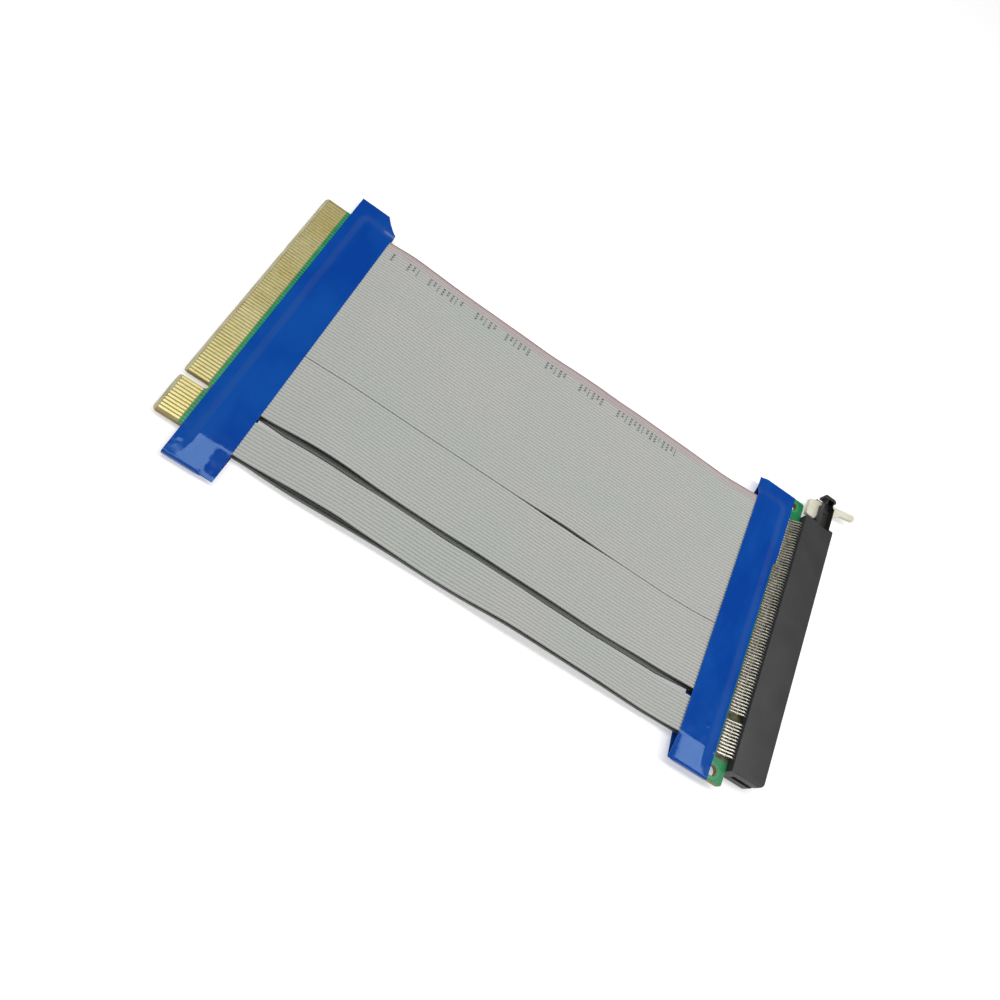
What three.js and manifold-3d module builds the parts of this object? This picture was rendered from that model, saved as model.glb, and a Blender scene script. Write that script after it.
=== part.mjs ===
// Riser cable: a card edge board and a slot connector joined by two layers of flat ribbon.
// Millimetres. X runs along the cable from the card edge to the slot, Y along the slot, Z up.
import * as THREE from 'three';
import { mergeVertices } from 'three/addons/utils/BufferGeometryUtils.js';
import Module from 'manifold-3d';

// Contact row, shared by the card edge, the ribbons and the slot
const contactPitch = 1.0;
const shortRowContacts = 11;
const longRowContacts = 71;
const keySpan = 3.0; // between the two contacts beside the key
const rowMargin = 1.1; // from the side of the tongue to the first contact

// Card edge board
const boardThickness = 1.6;
const tongueLength = 8.4;
const padStripLength = 8.6; // taped part behind the tongue
const cardEarNear = 8.4; // board past the tongue on the key side
const cardEarFar = 7.7;
const boardCorner = 0.9;
const keyWidth = 1.9;
const keyDepth = 7.6;
const bevelLength = 0.9;
const bevelDepth = 0.45;
const fingerStart = 1.0;
const fingerLength = 5.9;
const fingerWidth = 0.7;
const fingerHeight = 0.06;

// Slot board
const slotEarNear = 7.5;
const slotEarFar = 7.5;
const mountHoleRadius = 1.5;
const mountHoleFromEnd = 3.0;
const mountHoleFromSlot = 4.1;

// Slot housing
const housingHeight = 7.5;
const housingDepth = 11.25;
const housingEndNear = 2.7; // housing past the tongue on the key side
const housingEndFar = 2.5;
const housingEndRound = 2.0;
const housingChamfer = 0.35;
const slotFloor = 2.95; // housing behind the card slot
const slotLeadIn = 0.5;
const cardFit = 0.15; // card to slot, each side
const keyFit = 0.1;
const keyRibSetback = 1.2;

// Contact tails
const tailWidth = 0.42;
const tailThickness = 0.3;
const tailOutHeight = 2.35; // from the slot's middle to a tail at the housing
const tailReach = 3.85;
const tailRoot = 0.6; // contact held inside the housing
const tailToTape = 0.15;
const solderFit = 0.03;

// Tower that carries the latch
const towerFaceSetback = 1.65; // from the slot's face
const towerDepth = 4.2;
const towerLength = 12.2;
const towerNeckDepth = 2.7;
const towerNeckLength = 2.1;
const towerFlangeLength = 1.5;
const towerFlangeLip = 0.7;

// Latch
const latchThickness = 1.6;
const latchSideFit = 0.2;
const pivotFromHousing = 7.3;
const trunnionRadius = 0.9;
const trunnionLength = 0.6;
const trunnionFit = 0.1;
const latchToHousing = 2.8;
const latchToBoard = 1.5;
const latchFootLength = 6.4;
const latchTabLength = 5.9;
const latchTabWidth = 2.4;
const latchTabAngle = 13; // degrees outwards from the cable's direction

// Ribbons
const ribbonThickness = 0.9;
const ribbonWeb = 0.4; // insulation between two conductors
const ribbonSideFit = 0.1;
const layFit = 0.05; // between a ribbon and the board that it lies on
const cableLength = 140; // between the two tapes
const middleRibbonConductors = 22;
const narrowRibbonShift = -1.9; // each ribbon's row against its contacts
const middleRibbonShift = -1.4;
const wideRibbonShift = -0.6;
const seatOnCard = 3.5; // ribbon over the card edge board
const levelPastBoard = 1.6; // ribbon stays level this far past a board

// Tapes
const tapeThickness = 0.12;
const tapeFit = 0.06;
const tapeEnd = 0.25; // tape past the end of a board
const tapeOverTongue = 0.2;
const cardTapeOverhang = 5.2; // tape past the board, over the ribbons
const cardTapeCornerCut = 4.6;
const slotTapeOverhang = 2.7;
const slotTapeCover = 10.3; // slot board under its tape
const slotTapeStep = 0.9; // the far part of the slot tape covers more of the board
const slotTapeStepAt = 66;
const ribbonEndUnderTape = 2.3; // from the ribbons' ends to the slot tape's edge
const tapeSlopeLength = 1.1; // where the tape climbs from a board onto the ribbons
const tapePinchLength = 2.2; // where it closes past the end of a board
const tapeFlat = 0.5; // shortest stretch stuck to itself

// How far a cutter runs past what it cuts, and a joined piece runs into its neighbour
const past = 1;

// Positions along the cable
const cardBoardEnd = tongueLength + padStripLength;
const cardTapeStart = tongueLength - tapeOverTongue;
const cardTapeEnd = cardBoardEnd + cardTapeOverhang;
const slotTapeStart = cardTapeEnd + cableLength;
const slotBoardStart = slotTapeStart + slotTapeOverhang;
const slotTapeEnd = slotBoardStart + slotTapeCover;
const slotBoardEnd = slotTapeEnd + slotTapeStep + tailToTape + tailReach;
const housingBack = slotBoardEnd + solderFit;
const housingFace = housingBack + housingDepth;
const towerFront = housingFace - towerFaceSetback;
const towerBack = towerFront - towerDepth;
const pivotX = (towerBack + towerFront) / 2;

// Positions along the slot
const keyCentre = rowMargin + (shortRowContacts - 1) * contactPitch + keySpan / 2;
const tongueWidth = keyCentre + keySpan / 2 + (longRowContacts - 1) * contactPitch + rowMargin;
const housingNear = -housingEndNear;
const housingFar = tongueWidth + housingEndFar;
const pivotY = housingFar + pivotFromHousing;

// Heights above the surface that the cable lies on
const cardLowerSeat = tapeThickness + tapeFit + ribbonThickness / 2;
const cardBoardBottom = cardLowerSeat + ribbonThickness / 2 + layFit;
const cardBoardTop = cardBoardBottom + boardThickness;
const cardUpperSeat = cardBoardTop + layFit + ribbonThickness / 2;
const slotMiddle = housingHeight / 2;
const slotBoardBottom = slotMiddle - boardThickness / 2;
const slotBoardTop = slotMiddle + boardThickness / 2;
const slotLowerSeat = slotBoardBottom - layFit - ribbonThickness / 2;
const slotUpperSeat = slotBoardTop + layFit + ribbonThickness / 2;

const wasm = await Module();
wasm.setup();

// Closed geometry to a solid for cutting and joining
function solid(geometry) {
  const bare = geometry.clone();
  bare.deleteAttribute('normal');
  bare.deleteAttribute('uv');
  const merged = mergeVertices(bare, 1e-4);
  return new wasm.Manifold(new wasm.Mesh({
    numProp: 3,
    vertProperties: new Float32Array(merged.attributes.position.array),
    triVerts: new Uint32Array(merged.index.array),
  }));
}

function geometryOf(body) {
  const mesh = body.getMesh();
  const geometry = new THREE.BufferGeometry();
  geometry.setAttribute('position', new THREE.BufferAttribute(mesh.vertProperties, 3));
  geometry.setIndex(new THREE.BufferAttribute(mesh.triVerts, 1));
  geometry.computeVertexNormals();
  return geometry;
}

function joined(bodies) {
  return bodies.reduce((whole, body) => whole.add(body));
}

function shapeOf(points) {
  return new THREE.Shape(points.map(([across, up]) => new THREE.Vector2(across, up)));
}

// An outline in plan, raised from bottom to top
function slab(shape, bottom, top, curveSegments = 6) {
  const options = { depth: top - bottom, bevelEnabled: false, curveSegments };
  return solid(new THREE.ExtrudeGeometry(shape, options).translate(0, 0, bottom));
}

// A side view, with x and z, swept along the slot from near to far
function sweptAlongSlot(points, near, far) {
  const options = { depth: far - near, bevelEnabled: false };
  const geometry = new THREE.ExtrudeGeometry(shapeOf(points), options);
  return solid(geometry.rotateX(Math.PI / 2).translate(0, far, 0));
}

function block(x0, x1, y0, y1, z0, z1) {
  const box = new THREE.BoxGeometry(x1 - x0, y1 - y0, z1 - z0);
  return solid(box.translate((x0 + x1) / 2, (y0 + y1) / 2, (z0 + z1) / 2));
}

function upright(radius, x, y, bottom, top, sides = 20) {
  const rod = new THREE.CylinderGeometry(radius, radius, top - bottom, sides);
  return solid(rod.rotateX(Math.PI / 2).translate(x, y, (bottom + top) / 2));
}

// Outline through corners of x, y and a corner radius
function roundedOutline(corners) {
  const shape = new THREE.Shape();
  const count = corners.length;
  corners.forEach(([x, y, radius], index) => {
    const [beforeX, beforeY] = corners[(index + count - 1) % count];
    const [afterX, afterY] = corners[(index + 1) % count];
    const corner = new THREE.Vector2(x, y);
    const before = new THREE.Vector2(beforeX, beforeY).sub(corner).normalize();
    const after = new THREE.Vector2(afterX, afterY).sub(corner).normalize();
    const turn = Math.acos(THREE.MathUtils.clamp(before.dot(after), -1, 1));
    const setback = radius / Math.tan(turn / 2);
    const start = corner.clone().addScaledVector(before, setback);
    const end = corner.clone().addScaledVector(after, setback);
    if (index === 0) {
      shape.moveTo(start.x, start.y);
    } else {
      shape.lineTo(start.x, start.y);
    }
    if (radius > 0) {
      shape.quadraticCurveTo(x, y, end.x, end.y);
    }
  });
  shape.closePath();
  return shape;
}

// Centres of the contacts along the slot, key side first
function contactRow() {
  const centres = [];
  for (let index = 0; index < shortRowContacts; index += 1) {
    centres.push(rowMargin + index * contactPitch);
  }
  for (let index = 0; index < longRowContacts; index += 1) {
    centres.push(keyCentre + keySpan / 2 + index * contactPitch);
  }
  return centres;
}

// Card edge board: tongue with a key notch, a bevelled tip and gold fingers on both faces
function cardEdgeBoard() {
  const keyNear = keyCentre - keyWidth / 2;
  const keyFar = keyCentre + keyWidth / 2;
  const notchRound = 0.49 * keyWidth;
  const outline = roundedOutline([
    [0, 0, boardCorner],
    [tongueLength, 0, 0],
    [tongueLength, -cardEarNear, boardCorner],
    [cardBoardEnd, -cardEarNear, 0],
    [cardBoardEnd, tongueWidth + cardEarFar, 0],
    [tongueLength, tongueWidth + cardEarFar, boardCorner],
    [tongueLength, tongueWidth, 0],
    [0, tongueWidth, boardCorner],
    [0, keyFar, boardCorner / 2],
    [keyDepth, keyFar, notchRound],
    [keyDepth, keyNear, notchRound],
    [0, keyNear, boardCorner / 2],
  ]);
  const plan = slab(outline, cardBoardBottom, cardBoardTop, 3);
  const side = sweptAlongSlot([
    [0, cardBoardBottom + bevelDepth],
    [bevelLength, cardBoardBottom],
    [cardBoardEnd + past, cardBoardBottom],
    [cardBoardEnd + past, cardBoardTop],
    [bevelLength, cardBoardTop],
    [0, cardBoardTop - bevelDepth],
  ], -cardEarNear - past, tongueWidth + cardEarFar + past);
  const fingers = contactRow().map((y) => block(
    fingerStart, fingerStart + fingerLength,
    y - fingerWidth / 2, y + fingerWidth / 2,
    cardBoardBottom - fingerHeight, cardBoardTop + fingerHeight,
  ));
  return geometryOf(joined([plan.intersect(side), ...fingers]));
}

// Slot board, soldered between the two rows of contact tails
function slotBoard() {
  const near = -slotEarNear;
  const far = tongueWidth + slotEarFar;
  const outline = roundedOutline([
    [slotBoardStart, near, 0],
    [slotBoardEnd, near, boardCorner],
    [slotBoardEnd, far, boardCorner],
    [slotBoardStart, far, 0],
  ]);
  const board = slab(outline, slotBoardBottom, slotBoardTop, 3);
  const holeX = slotBoardEnd - mountHoleFromSlot;
  const holes = [near + mountHoleFromEnd, far - mountHoleFromEnd].map((y) => (
    upright(mountHoleRadius, holeX, y, slotBoardBottom - past, slotBoardTop + past)
  ));
  return geometryOf(board.subtract(joined(holes)));
}

// One contact tail, bent in from the housing to the face of the board
function contactTail(y, side) {
  const board = boardThickness / 2 + fingerHeight;
  const points = [
    [housingBack + tailRoot, tailOutHeight],
    [housingBack, tailOutHeight],
    [housingBack - tailReach, board],
    [housingBack - tailReach, board + tailThickness],
    [housingBack + tailRoot, tailOutHeight + tailThickness],
  ].map(([x, out]) => [x, slotMiddle + side * out]);
  return sweptAlongSlot(points, y - tailWidth / 2, y + tailWidth / 2);
}

// Two cheeks of the tower, with sockets for the latch's trunnions
function tower() {
  const start = housingFar - past;
  const end = housingFar + towerLength;
  const flange = end - towerFlangeLength;
  const neck = flange - towerNeckLength;
  const neckBack = pivotX - towerNeckDepth / 2;
  const neckFront = pivotX + towerNeckDepth / 2;
  const outline = shapeOf([
    [towerBack, start],
    [towerFront, start],
    [towerFront, neck],
    [neckFront, neck],
    [neckFront, flange],
    [towerFront, flange],
    [towerFront, end - towerFlangeLip],
    [towerFront - towerFlangeLip, end],
    [towerBack, end],
    [towerBack - towerFlangeLip, end - towerFlangeLip],
    [towerBack - towerFlangeLip, flange],
    [neckBack, flange],
    [neckBack, neck],
    [towerBack, neck],
  ]);
  const halfChannel = latchThickness / 2 + latchSideFit;
  const channel = block(
    towerBack - towerFlangeLip - past, towerFront + past, housingFar, end + past,
    slotMiddle - halfChannel, slotMiddle + halfChannel,
  );
  const reach = latchThickness / 2 + trunnionLength + trunnionFit;
  const sockets = upright(
    trunnionRadius + trunnionFit, pivotX, pivotY, slotMiddle - reach, slotMiddle + reach,
  );
  return slab(outline, 0, housingHeight).subtract(channel).subtract(sockets);
}

// Slot housing: card slot with a key rib, contact tails behind it and the latch tower
function slotHousing() {
  const halfSlot = boardThickness / 2 + cardFit;
  const low = slotMiddle - halfSlot;
  const high = slotMiddle + halfSlot;
  const outline = roundedOutline([
    [housingBack, housingNear, 0],
    [housingFace, housingNear, housingEndRound],
    [housingFace, housingFar, 0],
    [housingBack, housingFar, 0],
  ]);
  const profile = sweptAlongSlot([
    [housingBack, 0],
    [housingFace - housingChamfer, 0],
    [housingFace, housingChamfer],
    [housingFace, housingHeight - housingChamfer],
    [housingFace - housingChamfer, housingHeight],
    [housingBack, housingHeight],
  ], housingNear - past, housingFar + past);
  const slotEnd = housingBack + slotFloor;
  const slot = sweptAlongSlot([
    [slotEnd, low],
    [housingFace - slotLeadIn, low],
    [housingFace + slotLeadIn, low - 2 * slotLeadIn],
    [housingFace + slotLeadIn, high + 2 * slotLeadIn],
    [housingFace - slotLeadIn, high],
    [slotEnd, high],
  ], housingNear - past, tongueWidth + cardFit);
  const halfKey = keyWidth / 2 - keyFit;
  const keyRib = block(
    slotEnd - past, housingFace - keyRibSetback,
    keyCentre - halfKey, keyCentre + halfKey, low - keyFit, high + keyFit,
  );
  const tails = contactRow().flatMap((y) => [contactTail(y, 1), contactTail(y, -1)]);
  const shell = slab(outline, 0, housingHeight, 4).intersect(profile);
  return geometryOf(joined([shell.subtract(slot), keyRib, tower(), ...tails]));
}

// Latch: a rocker with a foot that lifts the card, a hook over it and a thumb tab
function latch() {
  const angle = THREE.MathUtils.degToRad(latchTabAngle);
  const along = new THREE.Vector2(Math.cos(angle), Math.sin(angle));
  const across = new THREE.Vector2(-along.y, along.x);
  const tabRoot = new THREE.Vector2(pivotX + 7.0, pivotY + 3.0);
  const tabTip = tabRoot.clone().addScaledVector(along, latchTabLength);
  const tabFarTip = tabTip.clone().addScaledVector(across, latchTabWidth);
  const tabFarRoot = tabRoot.clone().addScaledVector(across, latchTabWidth);
  const footBack = slotBoardEnd + latchToBoard;
  const footNear = housingFar + latchToHousing;
  const outline = roundedOutline([
    [footBack, footNear + 0.2, 0.6],
    [pivotX - 2.7, footNear, 0.5],
    [pivotX - 1.9, pivotY - 3.0, 0],
    [pivotX + 2.3, pivotY - 2.4, 0],
    [pivotX + 4.5, pivotY + 0.6, 0.4],
    [tabRoot.x, tabRoot.y, 0.4],
    [tabTip.x, tabTip.y, 0.7],
    [tabFarTip.x, tabFarTip.y, 0.7],
    [tabFarRoot.x, tabFarRoot.y, 0],
    [pivotX + 2.9, pivotY + 4.6, 0],
    [pivotX + 1.0, pivotY + 3.2, 0],
    [pivotX - 2.9, pivotY + 3.0, 0.5],
    [footBack, footNear + latchFootLength, 0.8],
  ]);
  const half = latchThickness / 2;
  const rocker = slab(outline, slotMiddle - half, slotMiddle + half, 3);
  const reach = half + trunnionLength;
  const trunnions = upright(trunnionRadius, pivotX, pivotY, slotMiddle - reach, slotMiddle + reach);
  return geometryOf(rocker.add(trunnions));
}

// Ribbons, from the key side: the first contact served, conductors and shift from the row
const ribbonSpans = {
  narrow: { first: 0, count: shortRowContacts, shift: narrowRibbonShift },
  middle: { first: shortRowContacts, count: middleRibbonConductors, shift: middleRibbonShift },
  wide: {
    first: shortRowContacts + middleRibbonConductors,
    count: longRowContacts - middleRibbonConductors,
    shift: wideRibbonShift,
  },
};

// Upper ribbons between the tapes, chosen by hand: share of the open length, then the rise
// over the card edge board at the near and at the far side
const upperRoutes = {
  narrow: [
    [0.13, 2.1, 1.9], [0.21, 2.7, 2.4], [0.31, 1.4, 1.4], [0.43, 0.5, 0.8], [0.59, 2.3, 2.2],
    [0.88, 1.3, 1.3],
  ],
  middle: [[0.08, 3.7, 2.0], [0.14, 4.9, 2.4], [0.27, 3.4, 1.9], [0.56, 2.9, 1.4], [0.88, 1.7, 0.9]],
  wide: [[0.10, 2.1, 0.5], [0.41, 1.4, -0.3], [0.88, 0.8, 0.2]],
};

// Lower ribbons: share of the open length, then the gap under the upper ribbon at each side
const lowerRoutes = {
  narrow: [[0.13, 1.3, 0.9], [0.24, 1.1, 0.9], [0.43, 0.2, 0.2], [0.59, 0.7, 0.6]],
  middle: [[0.16, 2.7, 1.3], [0.56, 1.4, 0.8]],
  wide: [[0.41, 0.8, 0.15]],
};

// Stations of an upper ribbon: x, then its middle's height at the near and at the far side
function upperStations(spanName) {
  const open = upperRoutes[spanName].map(([share, near, far]) => [
    cardTapeEnd + share * cableLength, cardUpperSeat + near, cardUpperSeat + far,
  ]);
  return [
    [cardBoardEnd - seatOnCard, cardUpperSeat, cardUpperSeat],
    [cardTapeEnd, cardUpperSeat, cardUpperSeat],
    ...open,
    [slotBoardStart - levelPastBoard, slotUpperSeat, slotUpperSeat],
    [slotTapeEnd - ribbonEndUnderTape, slotUpperSeat, slotUpperSeat],
  ];
}

function heightsAt(stations, x) {
  const after = stations.findIndex(([stationX]) => stationX >= x);
  const [x0, near0, far0] = stations[after - 1];
  const [x1, near1, far1] = stations[after];
  const share = (x - x0) / (x1 - x0);
  return [THREE.MathUtils.lerp(near0, near1, share), THREE.MathUtils.lerp(far0, far1, share)];
}

function lowerStations(spanName) {
  const above = upperStations(spanName);
  const open = lowerRoutes[spanName].map(([share, nearGap, farGap]) => {
    const x = cardTapeEnd + share * cableLength;
    const [near, far] = heightsAt(above, x);
    return [x, near - ribbonThickness - nearGap, far - ribbonThickness - farGap];
  });
  return [
    [cardBoardEnd - seatOnCard, cardLowerSeat, cardLowerSeat],
    [cardBoardEnd + levelPastBoard, cardLowerSeat, cardLowerSeat],
    ...open,
    [slotBoardStart - levelPastBoard, slotLowerSeat, slotLowerSeat],
    [slotTapeEnd - ribbonEndUnderTape, slotLowerSeat, slotLowerSeat],
  ];
}

// Near edge of a ribbon's first conductor, across the cable
function ribbonNearSide(spanName) {
  const { first, shift } = ribbonSpans[spanName];
  return contactRow()[first] + shift - contactPitch / 2;
}

// A ribbon is one strip, with a crest over each conductor and a web between
function ribbon(spanName, stations) {
  const { count } = ribbonSpans[spanName];
  const near = ribbonNearSide(spanName) + ribbonSideFit / 2;
  const width = count * contactPitch - ribbonSideFit;
  const profile = [];
  for (let step = 0; step <= 2 * count; step += 1) {
    const across = THREE.MathUtils.clamp((step * contactPitch - ribbonSideFit) / 2, 0, width);
    profile.push([across, step % 2 === 1 ? ribbonThickness / 2 : ribbonWeb / 2]);
  }
  const section = [
    ...profile.map(([across, half]) => [across, -half]),
    ...profile.map(([across, half]) => [across, half]).reverse(),
  ];
  const positions = stations.flatMap(([x, zNear, zFar]) => (
    section.flatMap(([across, up]) => [
      x, near + across, up + THREE.MathUtils.lerp(zNear, zFar, across / width),
    ])
  ));
  return loft(positions, section.length, stations.length);
}

// Closed skin through rings that run along an underside and back over a top with as many points
function loft(positions, size, rings) {
  const index = [];
  for (let ring = 0; ring < rings - 1; ring += 1) {
    for (let point = 0; point < size; point += 1) {
      const a = ring * size + point;
      const b = ring * size + ((point + 1) % size);
      index.push(a, b, a + size, b, b + size, a + size);
    }
  }
  const last = (rings - 1) * size;
  for (let point = 0; point < size / 2 - 1; point += 1) {
    const above = size - 1 - point;
    index.push(point, above - 1, point + 1, point, above, above - 1);
    index.push(last + point, last + point + 1, last + above - 1);
    index.push(last + point, last + above - 1, last + above);
  }
  const geometry = new THREE.BufferGeometry();
  geometry.setAttribute('position', new THREE.Float32BufferAttribute(positions, 3));
  geometry.setIndex(index);
  geometry.computeVertexNormals();
  return geometry;
}

// Tape sleeve: the outer skin less the board and the ribbons that it holds
function sleeve({ skin, bulge, boardPocket, ribbonPocket, cut }) {
  return geometryOf(skin.add(bulge).subtract(boardPocket).subtract(ribbonPocket).subtract(cut));
}

// Room for the ribbons inside both tapes, across the cable
const ribbonsNear = ribbonNearSide('narrow') - tapeFit;
const ribbonsFar = ribbonNearSide('wide') + ribbonSpans.wide.count * contactPitch + tapeFit;

// Tape over the card edge board, drawn in round the ribbons and stuck to itself beside them
function cardTape() {
  const near = -cardEarNear - tapeEnd;
  const far = tongueWidth + cardEarFar + tapeEnd;
  const skinLow = cardBoardBottom - tapeFit - tapeThickness;
  const skinHigh = cardBoardTop + tapeFit + tapeThickness;
  const middle = (cardBoardBottom + cardBoardTop) / 2;
  const fold = cardBoardEnd + 2 * tapeEnd;
  const pinch = cardBoardEnd + Math.min(tapePinchLength, cardTapeOverhang - tapeFlat);
  const skin = sweptAlongSlot([
    [cardTapeStart, skinLow],
    [fold, skinLow],
    [pinch, middle - tapeThickness],
    [cardTapeEnd, middle - tapeThickness],
    [cardTapeEnd, middle + tapeThickness],
    [pinch, middle + tapeThickness],
    [fold, skinHigh],
    [cardTapeStart, skinHigh],
  ], near, far);
  const ribbonStart = cardBoardEnd - seatOnCard - tapeFit;
  const ribbonLow = cardLowerSeat - ribbonThickness / 2 - tapeFit;
  const ribbonHigh = cardUpperSeat + ribbonThickness / 2 + tapeFit;
  const bulge = sweptAlongSlot([
    [ribbonStart - tapeSlopeLength, cardBoardBottom],
    [ribbonStart - tapeThickness, ribbonLow - tapeThickness],
    [cardTapeEnd, ribbonLow - tapeThickness],
    [cardTapeEnd, ribbonHigh + tapeThickness],
    [ribbonStart - tapeThickness, ribbonHigh + tapeThickness],
    [ribbonStart - tapeSlopeLength, cardBoardTop],
  ], ribbonsNear - tapeThickness, ribbonsFar + tapeThickness);
  const boardPocket = block(
    cardTapeStart - past, cardBoardEnd + tapeFit,
    -cardEarNear - tapeFit, tongueWidth + cardEarFar + tapeFit,
    cardBoardBottom - tapeFit, cardBoardTop + tapeFit,
  );
  const ribbonPocket = block(
    ribbonStart, cardTapeEnd + past, ribbonsNear, ribbonsFar, ribbonLow, ribbonHigh,
  );
  const cut = slab(shapeOf([
    [fold, far],
    [cardTapeEnd + past, far - cardTapeCornerCut],
    [cardTapeEnd + past, far + past],
    [fold, far + past],
  ]), -past, skinHigh + past);
  return sleeve({ skin, bulge, boardPocket, ribbonPocket, cut });
}

// Tape over the slot board, with a step in its edge beside the contact tails
function slotTape() {
  const near = -slotEarNear - tapeEnd;
  const far = tongueWidth + slotEarFar + tapeEnd;
  const skinLow = slotBoardBottom - tapeFit - tapeThickness;
  const skinHigh = slotBoardTop + tapeFit + tapeThickness;
  const end = slotTapeEnd + slotTapeStep;
  const fold = slotBoardStart - 2 * tapeEnd;
  const pinch = slotBoardStart - Math.min(tapePinchLength, slotTapeOverhang - tapeFlat);
  const skin = sweptAlongSlot([
    [slotTapeStart, slotMiddle - tapeThickness],
    [pinch, slotMiddle - tapeThickness],
    [fold, skinLow],
    [end, skinLow],
    [end, skinHigh],
    [fold, skinHigh],
    [pinch, slotMiddle + tapeThickness],
    [slotTapeStart, slotMiddle + tapeThickness],
  ], near, far);
  const ribbonEnd = slotTapeEnd - ribbonEndUnderTape + tapeFit;
  const ribbonLow = slotLowerSeat - ribbonThickness / 2 - tapeFit;
  const ribbonHigh = slotUpperSeat + ribbonThickness / 2 + tapeFit;
  const bulge = sweptAlongSlot([
    [slotTapeStart, ribbonLow - tapeThickness],
    [ribbonEnd + tapeThickness, ribbonLow - tapeThickness],
    [ribbonEnd + tapeSlopeLength, slotBoardBottom],
    [ribbonEnd + tapeSlopeLength, slotBoardTop],
    [ribbonEnd + tapeThickness, ribbonHigh + tapeThickness],
    [slotTapeStart, ribbonHigh + tapeThickness],
  ], ribbonsNear - tapeThickness, ribbonsFar + tapeThickness);
  const boardPocket = block(
    slotBoardStart - tapeFit, end + past,
    -slotEarNear - tapeFit, tongueWidth + slotEarFar + tapeFit,
    slotBoardBottom - tapeFit, slotBoardTop + tapeFit,
  );
  const ribbonPocket = block(
    slotTapeStart - past, ribbonEnd, ribbonsNear, ribbonsFar, ribbonLow, ribbonHigh,
  );
  const cut = block(slotTapeEnd, end + past, near - past, slotTapeStepAt, 0, housingHeight);
  return sleeve({ skin, bulge, boardPocket, ribbonPocket, cut });
}

// Finishes
function finish(colour, roughness, metalness = 0) {
  return new THREE.MeshStandardMaterial({ color: colour, roughness, metalness });
}
const boardFinish = finish(0x1c8a4a, 0.45);
const ribbonFinish = finish(0xb9bdb7, 0.55);
const tapeFinish = finish(0x0b4fb0, 0.2);
const housingFinish = finish(0x3b3c3e, 0.55);
const latchFinish = finish(0xf4f1de, 0.45);

const pieces = [
  ['card_edge_board', cardEdgeBoard(), boardFinish],
  ['slot_board', slotBoard(), boardFinish],
  ['slot_housing', slotHousing(), housingFinish],
  ['card_latch', latch(), latchFinish],
  ['card_end_tape', cardTape(), tapeFinish],
  ['slot_end_tape', slotTape(), tapeFinish],
];
for (const spanName of Object.keys(ribbonSpans)) {
  const upper = ribbon(spanName, upperStations(spanName));
  const lower = ribbon(spanName, lowerStations(spanName));
  pieces.push([`upper_${spanName}_ribbon`, upper, ribbonFinish]);
  pieces.push([`lower_${spanName}_ribbon`, lower, ribbonFinish]);
}

// The cable stands on its tape and its housing, with the origin under the middle
const riserCable = new THREE.Group();
for (const [name, geometry, material] of pieces) {
  const mesh = new THREE.Mesh(geometry, material.clone());
  mesh.name = name;
  riserCable.add(mesh);
}
const extent = new THREE.Box3().setFromObject(riserCable);
const middleOfExtent = extent.getCenter(new THREE.Vector3());
for (const mesh of riserCable.children) {
  mesh.position.set(-middleOfExtent.x, -middleOfExtent.y, -extent.min.z);
}

export default riserCable;
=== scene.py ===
# %% [markdown]
# A flat riser cable seen from a step away: a card edge board with gold fingers at one end, a slot
# with a latch at the other, and two layers of ridged flat ribbon held to both boards by blue tape.
# The solid model is loaded first and never moved. Each visible piece is then made around it, in the
# same frame, and stands for the solid that it covers.

# %% Load the solid model
import math

import bmesh
import bpy
import numpy as np
from mathutils import Matrix, Vector, noise


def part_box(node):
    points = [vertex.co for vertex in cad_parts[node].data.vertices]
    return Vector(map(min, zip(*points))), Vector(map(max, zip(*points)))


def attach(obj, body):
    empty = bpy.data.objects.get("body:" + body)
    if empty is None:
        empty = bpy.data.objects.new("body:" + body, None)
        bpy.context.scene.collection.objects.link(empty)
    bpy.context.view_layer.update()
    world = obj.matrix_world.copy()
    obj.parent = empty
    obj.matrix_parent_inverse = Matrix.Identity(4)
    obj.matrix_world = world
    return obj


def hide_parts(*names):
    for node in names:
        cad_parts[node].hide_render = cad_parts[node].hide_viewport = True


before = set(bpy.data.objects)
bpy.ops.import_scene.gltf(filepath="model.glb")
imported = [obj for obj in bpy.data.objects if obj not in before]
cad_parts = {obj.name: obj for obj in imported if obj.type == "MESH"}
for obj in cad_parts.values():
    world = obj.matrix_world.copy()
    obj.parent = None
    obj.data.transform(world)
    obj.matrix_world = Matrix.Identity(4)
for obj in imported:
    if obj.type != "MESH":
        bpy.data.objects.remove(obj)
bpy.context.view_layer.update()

print("solid nodes:", ", ".join(sorted(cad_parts)))

# %% [markdown]
# The pieces are small, so their sizes are easiest to read in millimetres. The point to measure from
# is the card edge's tip on the side of its key notch: x runs from there to the slot, y along the
# slot, and z is up from the surface that the cable lies on. One function reads a solid's box in these
# units, and each finished piece is turned back into metres in the frame.

# %% Measure from the tip of the card edge
MM = 0.001
CARD_EAR = 8.4
card_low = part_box("card_edge_board")[0]
START = np.array([card_low.x / MM, card_low.y / MM + CARD_EAR, 0.0])


def solid_box(node):
    low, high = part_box(node)
    return np.array(low) / MM - START, np.array(high) / MM - START


for node in ("card_edge_board", "slot_housing", "card_end_tape", "slot_end_tape"):
    low, high = solid_box(node)
    print(node, "from", low.round(2), "to", high.round(2))

# %% [markdown]
# Contacts repeat all along the part: fingers, springs, tails and conductors share one pitch, with a
# wider step at the key. Writing the row once keeps every piece in line with the others.

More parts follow.
